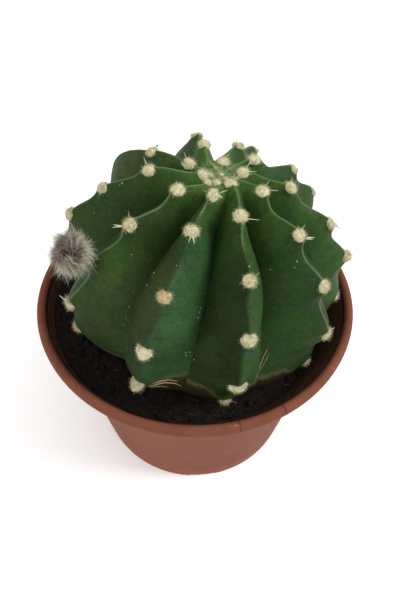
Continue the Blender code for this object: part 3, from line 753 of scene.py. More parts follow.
def bud_hair_material():
    """Hair of the bud: dark brown at the roots, grey on the way and pale at the tips."""
    paint = Paint("bud_hair", 0.85, 0.25)
    tint = paint.stored("tint")
    grey = paint.mix(paint.step(tint, 0.0, 0.5), (194, 190, 171), (124, 109, 88))
    grey = paint.mix(paint.step(tint, 0.5, 1.0), grey, (58, 42, 34))
    grey = paint.mix(paint.step(tint, 1.2, 1.8), grey, (150, 128, 102))
    paint.set("Sheen Weight", 0.2)
    return paint.finish(paint.mix(paint.step(paint.stored("tip"), 0.55, 0.0), grey, (50, 37, 32)))


def scar_material():
    paint = Paint("dry_skin", 0.85, 0.2)
    tan = paint.mix(paint.noise(1.2, 5, 0.7), (176, 162, 116), (112, 98, 64))
    return paint.finish(tan, paint.bump(paint.noise(0.5, 5), 0.15))


def speck_material():
    paint = Paint("lint_speck", 0.9, 0.2)
    return paint.finish(paint.mix(paint.noise(0.5), (172, 186, 162), (110, 130, 100)))


def floor_material():
    paint = Paint("floor_white", 0.9, 0.1)
    return paint.finish(paint.mix(paint.noise(400), (0.98, 0.98, 0.98, 1), (0.96, 0.96, 0.96, 1)))


def pot_inner_wall():
    """Points of the pot's inner wall, (radius, height), from its floor up to the lip."""
    floor = FOOT_HEIGHT + WALL
    return [
        (FOOT_RADIUS - WALL - FLOOR_CORNER, floor),
        (FOOT_RADIUS - WALL + 0.1 * FLOOR_CORNER, floor + FLOOR_CORNER),
        (SHOULDER_RADIUS - WALL, SHOULDER_HEIGHT + 0.4 * MM),
        (COLLAR_FOOT_RADIUS - WALL, COLLAR_FOOT + 0.5 * MM),
        (COLLAR_RADIUS - WALL, COLLAR_TOP + 0.6 * MM),
        (RIM_RADIUS - LIP_WIDTH, POT_HEIGHT - LIP_WIDTH),
    ]


def pot_inner_radius(height):
    """Radius of the pot's inner wall at a height."""
    wall = pot_inner_wall()
    for (low_radius, low), (high_radius, high) in zip(wall, wall[1:]):
        if low <= height <= high:
            return low_radius + (high_radius - low_radius) * (height - low) / (high - low)
    return wall[0][0]


def pot_profile():
    """The pot's section, (radius, height): up the inside, over the lip, down, and under the foot."""
    lip_half = LIP_WIDTH / 2
    profile = [(0, FOOT_HEIGHT + WALL), *pot_inner_wall()]
    for i in range(LIP_TURNS):
        angle = math.pi * (1 - i / (LIP_TURNS - 1))
        across = RIM_RADIUS - lip_half + math.cos(angle) * lip_half
        profile.append((across, POT_HEIGHT - lip_half + math.sin(angle) * lip_half))
    return profile + [
        (RIM_RADIUS - 0.05 * MM, LIP_BOTTOM + 0.9 * MM),
        (RIM_RADIUS - 0.25 * MM, LIP_BOTTOM + 0.35 * MM),
        (RIM_RADIUS - 0.7 * MM, LIP_BOTTOM),
        (COLLAR_RADIUS + 0.5 * MM, LIP_BOTTOM + 0.1 * MM),
        (COLLAR_RADIUS + 0.15 * MM, LIP_BOTTOM - 0.2 * MM),
        (COLLAR_RADIUS, COLLAR_TOP),
        (COLLAR_FOOT_RADIUS, COLLAR_FOOT),
        (SHOULDER_RADIUS + 0.3 * MM, SHOULDER_HEIGHT + 0.3 * MM),
        (SHOULDER_RADIUS, SHOULDER_HEIGHT),
        (FOOT_RADIUS, 0.6 * MM),
        (FOOT_RADIUS - 0.2 * MM, 0.2 * MM),
        (FOOT_RADIUS - 0.6 * MM, 0),
        (FOOT_RADIUS - FOOT_WIDTH, 0),
        (FOOT_RADIUS - FOOT_WIDTH, FOOT_HEIGHT),
        (0, FOOT_HEIGHT),
    ]


def pot_cutters():
    """Boxes for the foot's notches, and rods for the drain holes."""
    cutters = []
    box = Matrix.Diagonal((3 * FOOT_WIDTH, NOTCH_WIDTH, 2 * NOTCH_HEIGHT, 1))
    on_foot = Matrix.Translation((FOOT_RADIUS - FOOT_WIDTH / 2, 0, 0)) @ box
    azimuths = [NOTCH_AZIMUTH + i * 360 / NOTCH_COUNT for i in range(NOTCH_COUNT)]
    for azimuth in azimuths:
        place = Matrix.Rotation(math.radians(azimuth), 4, "Z") @ on_foot
        cutters.append(shape_mesh("cutter", bmesh.ops.create_cube, size=1, matrix=place))
    rod = {"cap_ends": True, "segments": DRAIN_SIDES, "radius1": DRAIN_RADIUS, "radius2": DRAIN_RADIUS}
    for radius, azimuth in [(0, 0)] + [(DRAIN_RING_RADIUS, azimuth) for azimuth in azimuths]:
        place = Matrix.Translation(polar(azimuth, radius, FOOT_HEIGHT + WALL / 2))
        cutters.append(shape_mesh("cutter", bmesh.ops.create_cone, depth=4 * WALL, matrix=place, **rod))
    return cutters


def turned_pot():
    """The pot's section turned about Z."""
    points = [(radius, 0, height) for radius, height in pot_profile()]
    mesh = bpy.data.meshes.new("pot_shell")
    mesh.from_pydata(points, [(i, i + 1) for i in range(len(points) - 1)], [])
    pot = link("pot_shell", mesh)
    screw = pot.modifiers.new("turn", "SCREW")
    screw.steps = POT_STEPS
    screw.use_merge_vertices = True
    screw.merge_threshold = 0.01 * MM
    return pot


def make_pot():
    pot = turned_pot()
    cutters = bpy.data.collections.new("pot_cutters")
    bpy.context.scene.collection.children.link(cutters)
    for mesh in pot_cutters():
        cutters.objects.link(bpy.data.objects.new("cutter", mesh))
    cut = pot.modifiers.new("cut", "BOOLEAN")
    cut.operation = "DIFFERENCE"
    cut.solver = "EXACT"
    cut.operand_type = "COLLECTION"
    cut.collection = cutters
    depsgraph = bpy.context.evaluated_depsgraph_get()
    mesh = pot.data = bpy.data.meshes.new_from_object(pot.evaluated_get(depsgraph))
    pot.modifiers.clear()
    for cutter in list(cutters.objects):
        bpy.data.objects.remove(cutter)
    bpy.data.collections.remove(cutters)
    mesh.shade_smooth()
    mesh.set_sharp_from_angle(angle=SHARP_EDGE)
    set_values(pot, "inside", [inside_share(vert.co) for vert in mesh.vertices])
    keep(pot, "pot", pot_material(), "pot")


def inside_share(point):
    """1 on the pot's inner wall below the lip, 0 on its outside."""
    if point.z < FOOT_HEIGHT + 0.5 * WALL:
        return 0.0
    wall = RIM_RADIUS - LIP_WIDTH
    if point.z < POT_HEIGHT - LIP_WIDTH:
        wall = pot_inner_radius(point.z)
    if math.hypot(point.x, point.y) > wall + 0.4 * WALL:
        return 0.0
    return smooth(POT_HEIGHT - 0.2 * LIP_WIDTH, POT_HEIGHT - 0.5 * LIP_WIDTH, point.z)


def soil_height(x, y):
    """Height of the soil's top: a gentle slope and lumps, pressed down round the plant's neck."""
    lumps = noise_at(Vector((x, y, 0)), SOIL_GRAIN) * SOIL_RELIEF
    open_height = SOIL_LEVEL - SOIL_SLOPE * x + lumps
    pressed = math.exp(-(((math.hypot(x, y) - NECK_RADIUS) / SOIL_DISH_WIDTH) ** 2))
    return open_height + (NECK_TOP - SOIL_DISH - open_height) * pressed


def rough_soil_height(spot):
    """The soil's top with its finer clods."""
    return soil_height(spot.x, spot.y) + relief(Vector((spot.x, spot.y, 0)), *SOIL_CLODS)


def soil_edge(azimuth):
    """Radius where the soil's top meets the pot."""
    edge = SHOULDER_RADIUS
    for _ in range(3):
        rim = polar(azimuth, edge, 0)
        edge = pot_inner_radius(soil_height(rim.x, rim.y)) - SOIL_EDGE_GAP
    return edge


def make_soil():
    """The soil's top as rings out from the neck, its wall down the pot, and its floor."""
    azimuths = [spoke * 360 / SOIL_SPOKES for spoke in range(SOIL_SPOKES)]
    edges = [soil_edge(azimuth) for azimuth in azimuths]
    points = []
    for ring in range(SOIL_RINGS):
        for azimuth, edge in zip(azimuths, edges):
            spot = polar(azimuth, NECK_RADIUS + (edge - NECK_RADIUS) * (ring / (SOIL_RINGS - 1)), 0)
            spot.z = rough_soil_height(spot)
            points.append(spot)
    wall = [(radius - SOIL_WALL_GAP, height) for radius, height in reversed(pot_inner_wall()[:3])]
    for radius, height in wall:
        points += [polar(azimuth, radius, height) for azimuth in azimuths]
    points += [Vector((0, 0, NECK_TOP - SOIL_DISH)), Vector((0, 0, FOOT_HEIGHT + WALL))]
    soil = mesh_object("soil_bed", points, closed_faces(SOIL_RINGS + len(wall), SOIL_SPOKES))
    material = soil_material()
    keep(soil, "soil", material, "soil")
    make_crumbs(material)
    make_fibres()


def open_soil_spot(rng):
    """A random spot of the soil that the plant's neck doesn't cover."""
    azimuth = rng.uniform(0, 360)
    low = (NECK_RADIUS + SOIL_NECK_GAP) ** 2
    high = (SHOULDER_RADIUS + LOOSE_EDGE_GAP) ** 2
    radius = math.sqrt(rng.uniform(low, high))
    edge = polar(azimuth, radius, 0)
    limit = pot_inner_radius(soil_height(edge.x, edge.y)) - LOOSE_EDGE_GAP
    return polar(azimuth, min(radius, limit), 0)


def make_crumbs(material):
    """Crumbs and clods of peat, half sunk in the soil's top."""
    rng = random.Random(SEEDS["crumbs"])
    grain = ball(bmesh.ops.create_icosphere, subdivisions=1)
    crumbs = Piece()
    for _ in range(CRUMB_COUNT):
        spot = open_soil_spot(rng)
        size = MM * (0.28 + rng.random() ** 3)
        spot.z = rough_soil_height(spot) + 0.25 * size
        turn = Matrix.Rotation(rng.uniform(0, math.tau), 3, Vector([rng.uniform(-1, 1) for _ in range(3)]))
        stretch = Vector((rng.uniform(0.7, 1.4), rng.uniform(0.6, 1.1), rng.uniform(0.5, 0.9)))
        crumbs.add_grain(grain, spot, turn, stretch, size, *CRUMB_LUMPS)
    keep(crumbs.build("peat_crumbs"), "soil", material)


def make_fibres():
    """Thin brown fibres lying on the soil."""
    rng = random.Random(SEEDS["fibres"])
    strands = []
    for _ in range(FIBRE_COUNT):
        spot = open_soil_spot(rng)
        spot.z = rough_soil_height(spot) + 0.1 * MM
        along = polar(rng.uniform(0, 360), 1, rng.uniform(0.0, 0.3)).normalized()
        bend = Vector([rng.uniform(-0.4, 0.4) for _ in range(3)])
        bend.z = FIBRE_SAG
        length = rng.uniform(2, 7) * MM
        strands.append(Strand(spot, along, bend, length, rng.uniform(0.08, 0.2) * MM, rng.random()))
    keep(strands_object("peat_fibres", strands), "soil", fibre_material())


def strands_object(name, strands, shares=WOOL_ROWS):
    """One closed, tapered, three-sided hair for each strand, with a row of corners at each share."""
    root, along, bend, length, radius, tint = (np.array(column) for column in zip(*strands))
    length = length[:, None]
    radius = radius[:, None]
    side = np.cross(along, (0.31, 0.17, 0.94))
    side /= np.linalg.norm(side, axis=1)[:, None]
    other = np.cross(along, side)
    last = (len(shares) - 1) * 3
    size = last + 4
    points = np.zeros((len(strands), size, 3))
    for row, share in enumerate(shares):
        middle = root + length * (along * share + bend * share**2)
        thickness = radius * (1 - share) ** 0.5
        for corner in range(3):
            angle = corner * math.tau / 3
            across = side * math.cos(angle) + other * math.sin(angle)
            points[:, row * 3 + corner] = middle + across * thickness
    points[:, -1] = root + length * (along + bend)
    pattern = [(0, 2, 1)]
    for row in range(0, last, 3):
        for corner in range(3):
            low = row + corner
            next_low = row + (corner + 1) % 3
            pattern += [(low, next_low, next_low + 3), (low, next_low + 3, low + 3)]
    pattern += [(last + corner, last + (corner + 1) % 3, last + 3) for corner in range(3)]
    faces = np.array(pattern)[None] + np.arange(len(strands))[:, None, None] * size
    obj = mesh_object(name, points.reshape(-1, 3).tolist(), faces.reshape(-1, 3).tolist())
    set_values(obj, "tint", np.repeat(tint, size))
    set_values(obj, "tip", np.tile([*np.repeat(shares, 3), 1.0], len(strands)))
    return obj


def crest_profile(angle):
    """Radius and height of the smooth profile through the areoles, at its angle from the top."""
    radius = BODY_RADIUS * math.sin(angle) ** BODY_FULLNESS
    sunken = DIMPLE_DEPTH * math.exp(-((radius / DIMPLE_RADIUS) ** 2))
    return Vector((radius, BODY_CENTRE + BODY_RISE * math.cos(angle) - sunken))


def crest_slope(angle):
    """Unit direction down the profile."""
    return (crest_profile(angle + NEARBY) - crest_profile(angle - NEARBY)).normalized()


def outward_of(slope):
    """The profile's outward normal, from its direction down."""
    return Vector((-slope.y, slope.x))


def valley_share(angle, hollow):
    """How deep a valley is at an angle down the profile, as a share of VALLEY_DEPTH."""
    opening = 1 - math.exp(-((max(0.0, angle - VALLEY_STARTS) / VALLEY_OPENS_OVER) ** 2))
    fading = smooth(VALLEY_FADES_FROM, UNDERSIDE_START, angle)
    return opening * (1 - (1 - hollow) * fading)


def flank_fall(across, angle):
    """How far the flank has dropped, 0 on the crest and 1 in the valley. Low crests are blunter."""
    rounding = CREST_SHARP + (CREST_BLUNT - CREST_SHARP) * smooth(0.5, 1.3, angle)
    level = (across**2 + rounding**2) ** (FLANK_BULGE / 2)
    low = rounding**FLANK_BULGE
    high = (1 + rounding**2) ** (FLANK_BULGE / 2)
    return (level - low) / (high - low)


def chin_drop(angle, name):
    """How far a rib's crest lies below the smooth profile: nothing at an areole, most just under it."""
    rib = RIBS[name]
    passed = bisect(rib.areoles, angle)
    chin = OWN_CHINS.get((name, max(0, passed - 1)), rib.chin)
    stops = (0.0, *rib.areoles, rib.areoles[-1] + CHIN_SPACING)
    above = stops[passed]
    spacing = stops[passed + 1] - above
    share = (angle - above - AREOLE_SHELF) / max(0.05, spacing - 2 * AREOLE_SHELF)
    share = min(1.0, max(0.0, share))
    size = min(1.0, spacing / CHIN_SPACING) * smooth(0.05, 0.5, angle)
    return chin * CHIN_DEPTH * size * math.sin(math.pi * share**CHIN_SKEW) ** CHIN_EASE


def valley_shift(name, angle):
    """How far the valley after a rib lies from midway, as a share of the gap."""
    shift = VALLEY_SHIFTS.get(name, NO_SHIFT)
    return shift.share * smooth(shift.starts, shift.ends, angle)


def crown_twist(angle):
    return CROWN_TWIST * (1 - smooth(*CROWN_TWIST_FADES, angle))


def lean(point):
    """Tips the whole body over a little, as it grew."""
    return LEAN_PIVOT + BODY_SHIFT + LEAN @ (point - LEAN_PIVOT)


def skin_point(angle, column):
    """A point of the ribbed skin."""
    fall = flank_fall(column.across, angle)
    depth = VALLEY_DEPTH * valley_share(angle, RIBS[column.valley].hollow)
    depth = depth * math.sqrt(column.gap / AVERAGE_GAP) * fall
    depth += chin_drop(angle, column.rib) * (1 - fall) ** CHIN_NARROWS
    point = crest_profile(angle) - outward_of(crest_slope(angle)) * depth
    azimuth = column.azimuth + column.swing * (angle - SWING_CENTRE) + crown_twist(angle)
    azimuth += column.across * column.gap * valley_shift(column.valley, angle)
    return lean(polar(azimuth, point.x, point.y))


def underside_point(tuck, column):
    """A point of the turned-in underside: the ribs run out on the way from the skin's end, at a
    tuck of 0, to the round upright neck, at 1."""
    start = skin_point(UNDERSIDE_START, column)
    before = skin_point(UNDERSIDE_START - 0.02, column)
    bend = start + (start - before).normalized() * UNDERSIDE_DROP
    end = polar(column.azimuth, NECK_RADIUS, NECK_TOP)
    turn = polar(column.azimuth, NECK_RADIUS + UNDERSIDE_REACH, NECK_TOP + UNDERSIDE_RISE)
    rest = 1 - tuck
    return start * rest**3 + 3 * bend * rest**2 * tuck + 3 * turn * rest * tuck**2 + end * tuck**3


def rib_column(name, side, across):
    """The column at a share of the way from a rib's crest to its valley. side is -1 or 1."""
    names = list(RIBS)
    rib = RIBS[name]
    neighbour = names[(names.index(name) + side) % len(names)]
    gap = (side * (RIBS[neighbour].azimuth - rib.azimuth)) % 360
    swing = rib.swing + ((rib.swing + RIBS[neighbour].swing) / 2 - rib.swing) * across
    azimuth = rib.azimuth + side * across * gap / 2
    return Column(name, side, across, azimuth, gap, swing, name if side > 0 else neighbour)


def rib_columns():
    """Every column of the skin in order round the body, closer at the crests and valleys."""
    shares = [(1 - math.cos(math.pi * i / HALF_RIB_STEPS)) / 2 for i in range(HALF_RIB_STEPS + 1)]
    columns = []
    for name in RIBS:
        columns += [rib_column(name, -1, share) for share in reversed(shares[1:])]
        columns += [rib_column(name, 1, share) for share in shares[:-1]]
    return columns


def roughened(point, angle):
    """A skin point with the slight unevenness of grown skin."""
    out = (point - Vector((0, 0, BODY_CENTRE))).normalized()
    depth = relief(point, *SKIN_RELIEF)
    depth += BASE_RELIEF[0] * MM * smooth(1.7, 1.93, angle) * noise_at(point, BASE_RELIEF[1] * MM)
    return point + out * depth * smooth(0.1, 0.4, angle)


def plain_tint(tint):
    return np.array(shade(*tint)[:3])


def flank_tint(name, side, across):
    """The broad colour of a flank. Close to the crest it goes over into that of the other flank."""
    own = plain_tint(FLANKS.get((name, side), PLAIN_FLANK).tint)
    other = plain_tint(FLANKS.get((name, -side), PLAIN_FLANK).tint)
    return other + (0.5 + 0.5 * smooth(0.0, CREST_BLEND, across)) * (own - other)


def skin_tints(points, angles, flanks):
    """The broad colour at each point of the skin. flanks has the rib, side and across of each."""
    places = np.array(points)
    youth = np.clip((YOUNG_UNTIL - np.array(angles)) / YOUNG_FADES_OVER, 0, 1) ** 1.5
    # Each flank's tint and patches paint light and shade as well as the skin's own tones.
    colours = np.array([flank_tint(*flank) for flank in flanks])
    colours = colours + youth[:, None] * (plain_tint(YOUNG_GREEN) - colours)
    for key, look in FLANKS.items():
        inside = [smooth(0.0, CREST_BLEND, flank[2]) * (flank[:2] == key) for flank in flanks]
        for across, angle, width, strength, tint in look.patches:
            centre = np.array(skin_point(angle, rib_column(*key, across)))
            away = np.linalg.norm(places - centre, axis=1)
            share = strength * np.exp(-((away / (width * MM)) ** 2)) * inside
            colours = colours + share[:, None] * (plain_tint(tint) - colours)
    return colours


def crest_line(column, angle):
    """How much of the pale line of the crest a place has."""
    rib = RIBS[column.rib]
    fade = 1 - smooth(rib.line_end, rib.line_end + LINE_FADES_OVER, angle)
    half = 0.5 + column.side * valley_shift(column.valley, angle)
    away = math.radians(column.across * column.gap * half) * crest_profile(angle).x
    return smooth(LINE_WIDTH, 0.0, away) * fade


def base_cork(column, angle):
    """How corky a place is. In the valley of some flanks the dry brown base reaches higher."""
    reach = FLANKS.get(column[:2], PLAIN_FLANK).cork * smooth(0.15, 0.6, column.across)
    return smooth(*CORK_SPAN, angle + reach)


def make_skin():
    """The ribbed skin, from just under the top down to the root's end."""
    columns = rib_columns()
    rows = []
    for row in range(1, BODY_ROWS + 1):
        angle = UNDERSIDE_START * row / BODY_ROWS
        for column in columns:
            point = roughened(skin_point(angle, column), angle)
            rows.append((point, angle, column[:3], crest_line(column, angle), base_cork(column, angle)))
    for row in range(1, UNDERSIDE_ROWS + 1):
        tuck = row / UNDERSIDE_ROWS
        for column in columns:
            point = roughened(underside_point(tuck, column), UNDERSIDE_START)
            cork = ROOT_CORK * (0.5 + 0.5 * smooth(0.0, 0.35, tuck))
            rows.append((point, UNDERSIDE_START, column[:3], 0.0, cork))
    for radius, height in ((NECK_RADIUS, NECK_BOTTOM + ROOT_TIP_HEIGHT), (ROOT_TIP_RADIUS, NECK_BOTTOM)):
        for column in columns:
            rows.append((polar(column.azimuth, radius, height), UNDERSIDE_START, column[:3], 0.0, ROOT_CORK))
    rings = len(rows) // len(columns)
    top = lean(polar(0, 0, crest_profile(TOP_ANGLE).y))
    rows.append((top, 0.0, columns[0][:3], 0.0, 0.0))
    rows.append((Vector((0, 0, NECK_BOTTOM)), UNDERSIDE_START, columns[0][:3], 0.0, ROOT_CORK))
    points, angles, flanks, lines, corks = zip(*rows)
    skin = mesh_object("cactus_skin", points, closed_faces(rings, len(columns)))
    set_colours(skin, "tint", skin_tints(points, angles, flanks))
    set_values(skin, "line", lines)
    set_values(skin, "cork", corks)
    keep(skin, "cactus", skin_material(), "cactus")


def skin_spot(name, side, across, angle):
    """A point of the finished skin and its outward direction."""
    column = rib_column(name, side, across)
    spot = roughened(skin_point(angle, column), angle)
    down = skin_point(angle + 2 * NEARBY, column) - skin_point(angle - 2 * NEARBY, column)
    near = min(across + 0.02, 1.0)
    before = skin_point(angle, rib_column(name, side, near - 0.04))
    out = down.cross(skin_point(angle, rib_column(name, side, near)) - before).normalized()
    if out.dot(spot - Vector((0, 0, BODY_CENTRE))) < 0:
        out = -out
    return spot, out


def make_scars():
    """Thin raised lines of dry skin, each a bumpy tube half sunk in the skin."""
    scars = Piece()
    for name, side, thickness, path in SCARS:
        spots = []
        for (across, angle), (next_across, next_angle) in zip(path, path[1:]):
            for step in range(SCAR_STEPS):
                share = step / SCAR_STEPS
                place = (across + (next_across - across) * share, angle + (next_angle - angle) * share)
                spots.append(skin_spot(name, side, *place))
        points = []
        count = len(spots)
        for i, (spot, out) in enumerate(spots):
            ahead = (spots[min(i + 1, count - 1)][0] - spots[max(i - 1, 0)][0]).normalized()
            beside = ahead.cross(out)
            taper = math.sin(math.pi * (i + 0.6) / (count + 0.2)) ** 0.5
            swell = thickness * MM * taper * (1 + 0.6 * noise_at(spot, 1.1 * MM))
            for corner in range(SCAR_SIDES):
                turn = corner * math.tau / SCAR_SIDES
                points.append(spot + (beside * math.cos(turn) + out * 0.55 * math.sin(turn)) * swell)
        ends = [tuple(reversed(range(SCAR_SIDES))), tuple(range(len(points) - SCAR_SIDES, len(points)))]
        scars.add(points, ring_faces(count, SCAR_SIDES) + ends)
    keep(scars.build("dry_scars"), "cactus", scar_material())


def make_specks():
    """Pale specks of lint and dried sap on the skin."""
    rng = random.Random(SEEDS["specks"])
    spots = [(name, side, *speck) for name, side, specks in SPECKS for speck in specks]
    for _ in range(FINE_SPECK_COUNT):
        name = rng.choice(list(RIBS))
        size = 0.05 + 0.09 * rng.random() ** 2
        spots.append((name, rng.choice((-1, 1)), rng.uniform(0.03, 0.97), rng.uniform(0.25, 1.75), size))
    grain = ball(bmesh.ops.create_icosphere, subdivisions=1)
    specks = Piece()
    for *place, size in spots:
        spot, out = skin_spot(*place)
        turn = out.to_track_quat("Z", "Y").to_matrix()
        stretch = Vector((rng.uniform(0.6, 1.5), rng.uniform(0.6, 1.1), 0.45))
        specks.add_grain(grain, spot, turn, stretch, size * MM, *SPECK_LUMPS)
    keep(specks.build("lint_specks"), "cactus", speck_material())


def crest_frame(azimuth, angle):
    """Seat on a crest: its middle, the outward normal, and the way up the rib."""
    seat = crest_profile(angle)
    slope = crest_slope(angle)
    out = seat + outward_of(slope) * MM
    up = seat - slope * MM
    middle = lean(polar(azimuth, seat.x, seat.y))
    normal = (lean(polar(azimuth, out.x, out.y)) - middle).normalized()
    upward = (lean(polar(azimuth, up.x, up.y)) - middle).normalized()
    return middle, normal, upward


def areole_frame(name, index):
    """Seat of one of a rib's areoles."""
    rib = RIBS[name]
    angle = rib.areoles[index]
    return crest_frame(rib.azimuth + rib.swing * (angle - SWING_CENTRE) + crown_twist(angle), angle)


def areole_places():
    """The rib, number and angle of every areole that carries wool."""
    places = [(name, index, angle) for name, rib in RIBS.items() for index, angle in enumerate(rib.areoles)]
    return [place for place in places if place[:2] != BUD_SEAT]


def grow_tuft(seat, size, low, age, look, rng):
    """Locks and hairs of one areole, and its cushion. Low areoles are wider and flat on top."""
    middle, normal, upward = seat
    middle = middle - normal * AREOLE_SINK
    side = upward.cross(normal)
    width = AREOLE_RADIUS * size * (1 + 0.12 * low) * look.width
    height = AREOLE_RADIUS * size * (1 - 0.08 * low) * look.height
    thickness = AREOLE_THICKNESS * size * look.thickness

    def shaped(direction):
        """Place on the cushion for a unit direction (across, up, out)."""
        up = direction.y
        if up > FLAT_TOP:
            up = FLAT_TOP + (up - FLAT_TOP) * (1 - 0.75 * low)
        across = direction.x * (1 - 0.4 * low * smooth(0.0, -1.0, up))
        return side * across * width + upward * up * height + normal * direction.z * thickness

    cushion = (middle, shaped, age, rng.random() * 100)
    strands = []
    for count, straight, shortest, longest, thinnest, thickest in WOOL:
        for i in range(round(count * size**2)):
            out = 1 - 1.12 * (i + 0.5) / (count * size**2)
            ring = math.sqrt(max(0.0, 1 - out**2))
            turn = i * GOLDEN_ANGLE
            place = shaped(Vector((ring * math.cos(turn), ring * math.sin(turn), out)))
            root = middle + place * WOOL_ROOT
            outward = (place + normal * 0.25 * thickness).normalized()
            along = (outward * straight + random_direction(rng)).normalized()
            bend = random_direction(rng) * 0.8 - outward * 0.25
            length = MM * rng.uniform(shortest, longest)
            radius = MM * rng.uniform(thinnest, thickest)
            tint = min(1.0, max(0.0, age + rng.gauss(0, 0.22)))
            if rng.random() < look.gold * smooth(0.4, 0.85, out):
                tint = rng.uniform(1.45, 1.9)
            strands.append(Strand(root, along, bend, length, radius, tint))
    return strands, cushion


def cushions_object(name, cushions):
    """The lumpy cores of the wool, one small ball each."""
    corners, sides = ball(bmesh.ops.create_uvsphere, u_segments=18, v_segments=10)
    piece = Piece()
    tints = []
    for middle, shaped, age, seed in cushions:
        lumps = [0.94 + 0.16 * noise_at(corner + Vector((seed, 0, 0)), 0.45) for corner in corners]
        piece.add([middle + shaped(corner) * lump for corner, lump in zip(corners, lumps)], sides)
        tints += [age] * len(corners)
    obj = piece.build(name)
    set_values(obj, "tint", tints)
    set_values(obj, "tip", [CUSHION_TIP] * len(tints))
    return obj


def rib_tufts(rib_name, rng):
    """The grown tufts of one rib. Wool greys and browns with age, most on the last areole."""
    tufts = []
    for name, index, angle in areole_places():
        if name != rib_name:
            continue
        size = 0.92 + AREOLE_GROWTH * smooth(0.2, 1.9, angle)
        age = 0.02 + 0.38 * smooth(0.3, 1.0, angle)
        if index == len(RIBS[name].areoles) - 1:
            age += 0.2
        look = Look(*TUFT_LOOKS.get(name, {}).get(index, PLAIN_LOOK))
        tufts.append(grow_tuft(areole_frame(name, index), size, smooth(1.1, 1.4, angle), age, look, rng))
    return tufts


def crown_hairs(rng):
    """Loose hairs that stand up from the crown."""
    strands = []
    for _ in range(CROWN_HAIRS):
        middle, normal, _ = crest_frame(rng.uniform(0, 360), CROWN_ANGLE * math.sqrt(rng.random()))
        along = (normal * 0.5 + random_direction(rng)).normalized()
        root = middle - normal * 0.2 * MM
        length = MM * rng.uniform(1.0, 2.4)
        bend = random_direction(rng) * 0.6
        strands.append(Strand(root, along, bend, length, MM * rng.uniform(0.02, 0.035), CROWN_HAIR_TINT))
    return strands


def make_wool():
    material = wool_material()
    rng = random.Random(SEEDS["wool"])

    def keep_wool(start, end, tufts, loose=()):
        strands = [strand for tuft, _ in tufts for strand in tuft]
        wool = strands_object(start + "_wool" + end, strands + list(loose))
        cushions = cushions_object(start + "_cushions" + end, [cushion for _, cushion in tufts])
        for piece in (wool, cushions):
            keep(piece, "cactus", material)

    for name in RIBS:
        keep_wool("areole", "_" + name, rib_tufts(name, rng))
    seats = [(crest_frame(azimuth, angle), size) for azimuth, angle, size in CROWN_TUFTS]
    crown = [grow_tuft(seat, size, 0, CROWN_AGE, PLAIN_LOOK, rng) for seat, size in seats]
    keep_wool("crown", "", crown, crown_hairs(rng))


def spine_strand(seat, rng, place, clock, length, radius, tint):
    """A short spine from the areole's edge, lifted a little off the skin."""
    middle, normal, upward = seat
    edge = Matrix.Rotation(math.radians(-place), 3, normal) @ upward
    along = Matrix.Rotation(math.radians(-clock), 3, normal) @ upward
    along = along * math.cos(SPINE_LIFT) + normal * math.sin(SPINE_LIFT)
    root = middle + normal * SPINE_ROOT + edge * 0.8 * AREOLE_RADIUS
    bend = random_direction(rng) * 0.08
    return Strand(root, along, bend, length * MM + 0.2 * AREOLE_RADIUS, radius * MM, tint)


def make_spines():
    rng = random.Random(SEEDS["spines"])
    strands = []
    for seat, spines in FRONT_SPINES.items():
        strands += [spine_strand(areole_frame(*seat), rng, *spine) for spine in spines]
    for name, index, _ in areole_places():
        for _ in range(SMALL_SPINES):
            if rng.random() < SMALL_SPINE_CHANCE:
                seat = areole_frame(name, index)
                clock = rng.uniform(-170, 170)
                length = rng.uniform(0.7, 1.3)
                strands.append(spine_strand(seat, rng, clock, clock, length, *SMALL_SPINE_LOOK))
    keep(strands_object("spines", strands, HAIR_ROWS), "cactus", spine_material())


def make_bud():
    """The bud: a brown core on a stalk under locks of long soft hair."""
    seat, normal, _ = areole_frame(*BUD_SEAT)
    axis = BUD_DIRECTION.normalized()
    centre = seat + axis * BUD_REACH
    turn = axis.to_track_quat("Z", "Y").to_matrix()
    core = Piece()
    points = []
    for ring in range(1, BUD_RINGS):
        slope = math.pi * ring / BUD_RINGS
        for spoke in range(BUD_SPOKES):
            out = polar(spoke * 360 / BUD_SPOKES, math.sin(slope), math.cos(slope))
            lump = BUD_CORE * (1 + 0.08 * noise_at(out, 0.4))
            points.append(centre + turn @ out * BUD_RADIUS * lump)
    points += [centre + axis * BUD_RADIUS * BUD_CORE, centre - axis * BUD_RADIUS * BUD_CORE]
    core.add(points, closed_faces(BUD_RINGS - 1, BUD_SPOKES))
    root = seat + normal * 0.3 * MM
    stalk = centre - root
    stalk_turn = stalk.to_track_quat("Z", "Y").to_matrix()
    points = []
    for share in (1.0, 0.66, 0.33, 0.0):
        for spoke in range(BUD_SPOKES):
            ring = polar(spoke * 360 / BUD_SPOKES, BUD_STALK_RADIUS * (1 + 0.25 * share), 0)
            points.append(root + stalk * share * 0.5 + stalk_turn @ ring)
    core.add(points + [root + stalk * 0.5, root], closed_faces(4, BUD_SPOKES))
    keep(core.build("bud_core"), "flower_bud", bud_core_material(), "flower_bud")
    make_bud_hair(centre, turn)


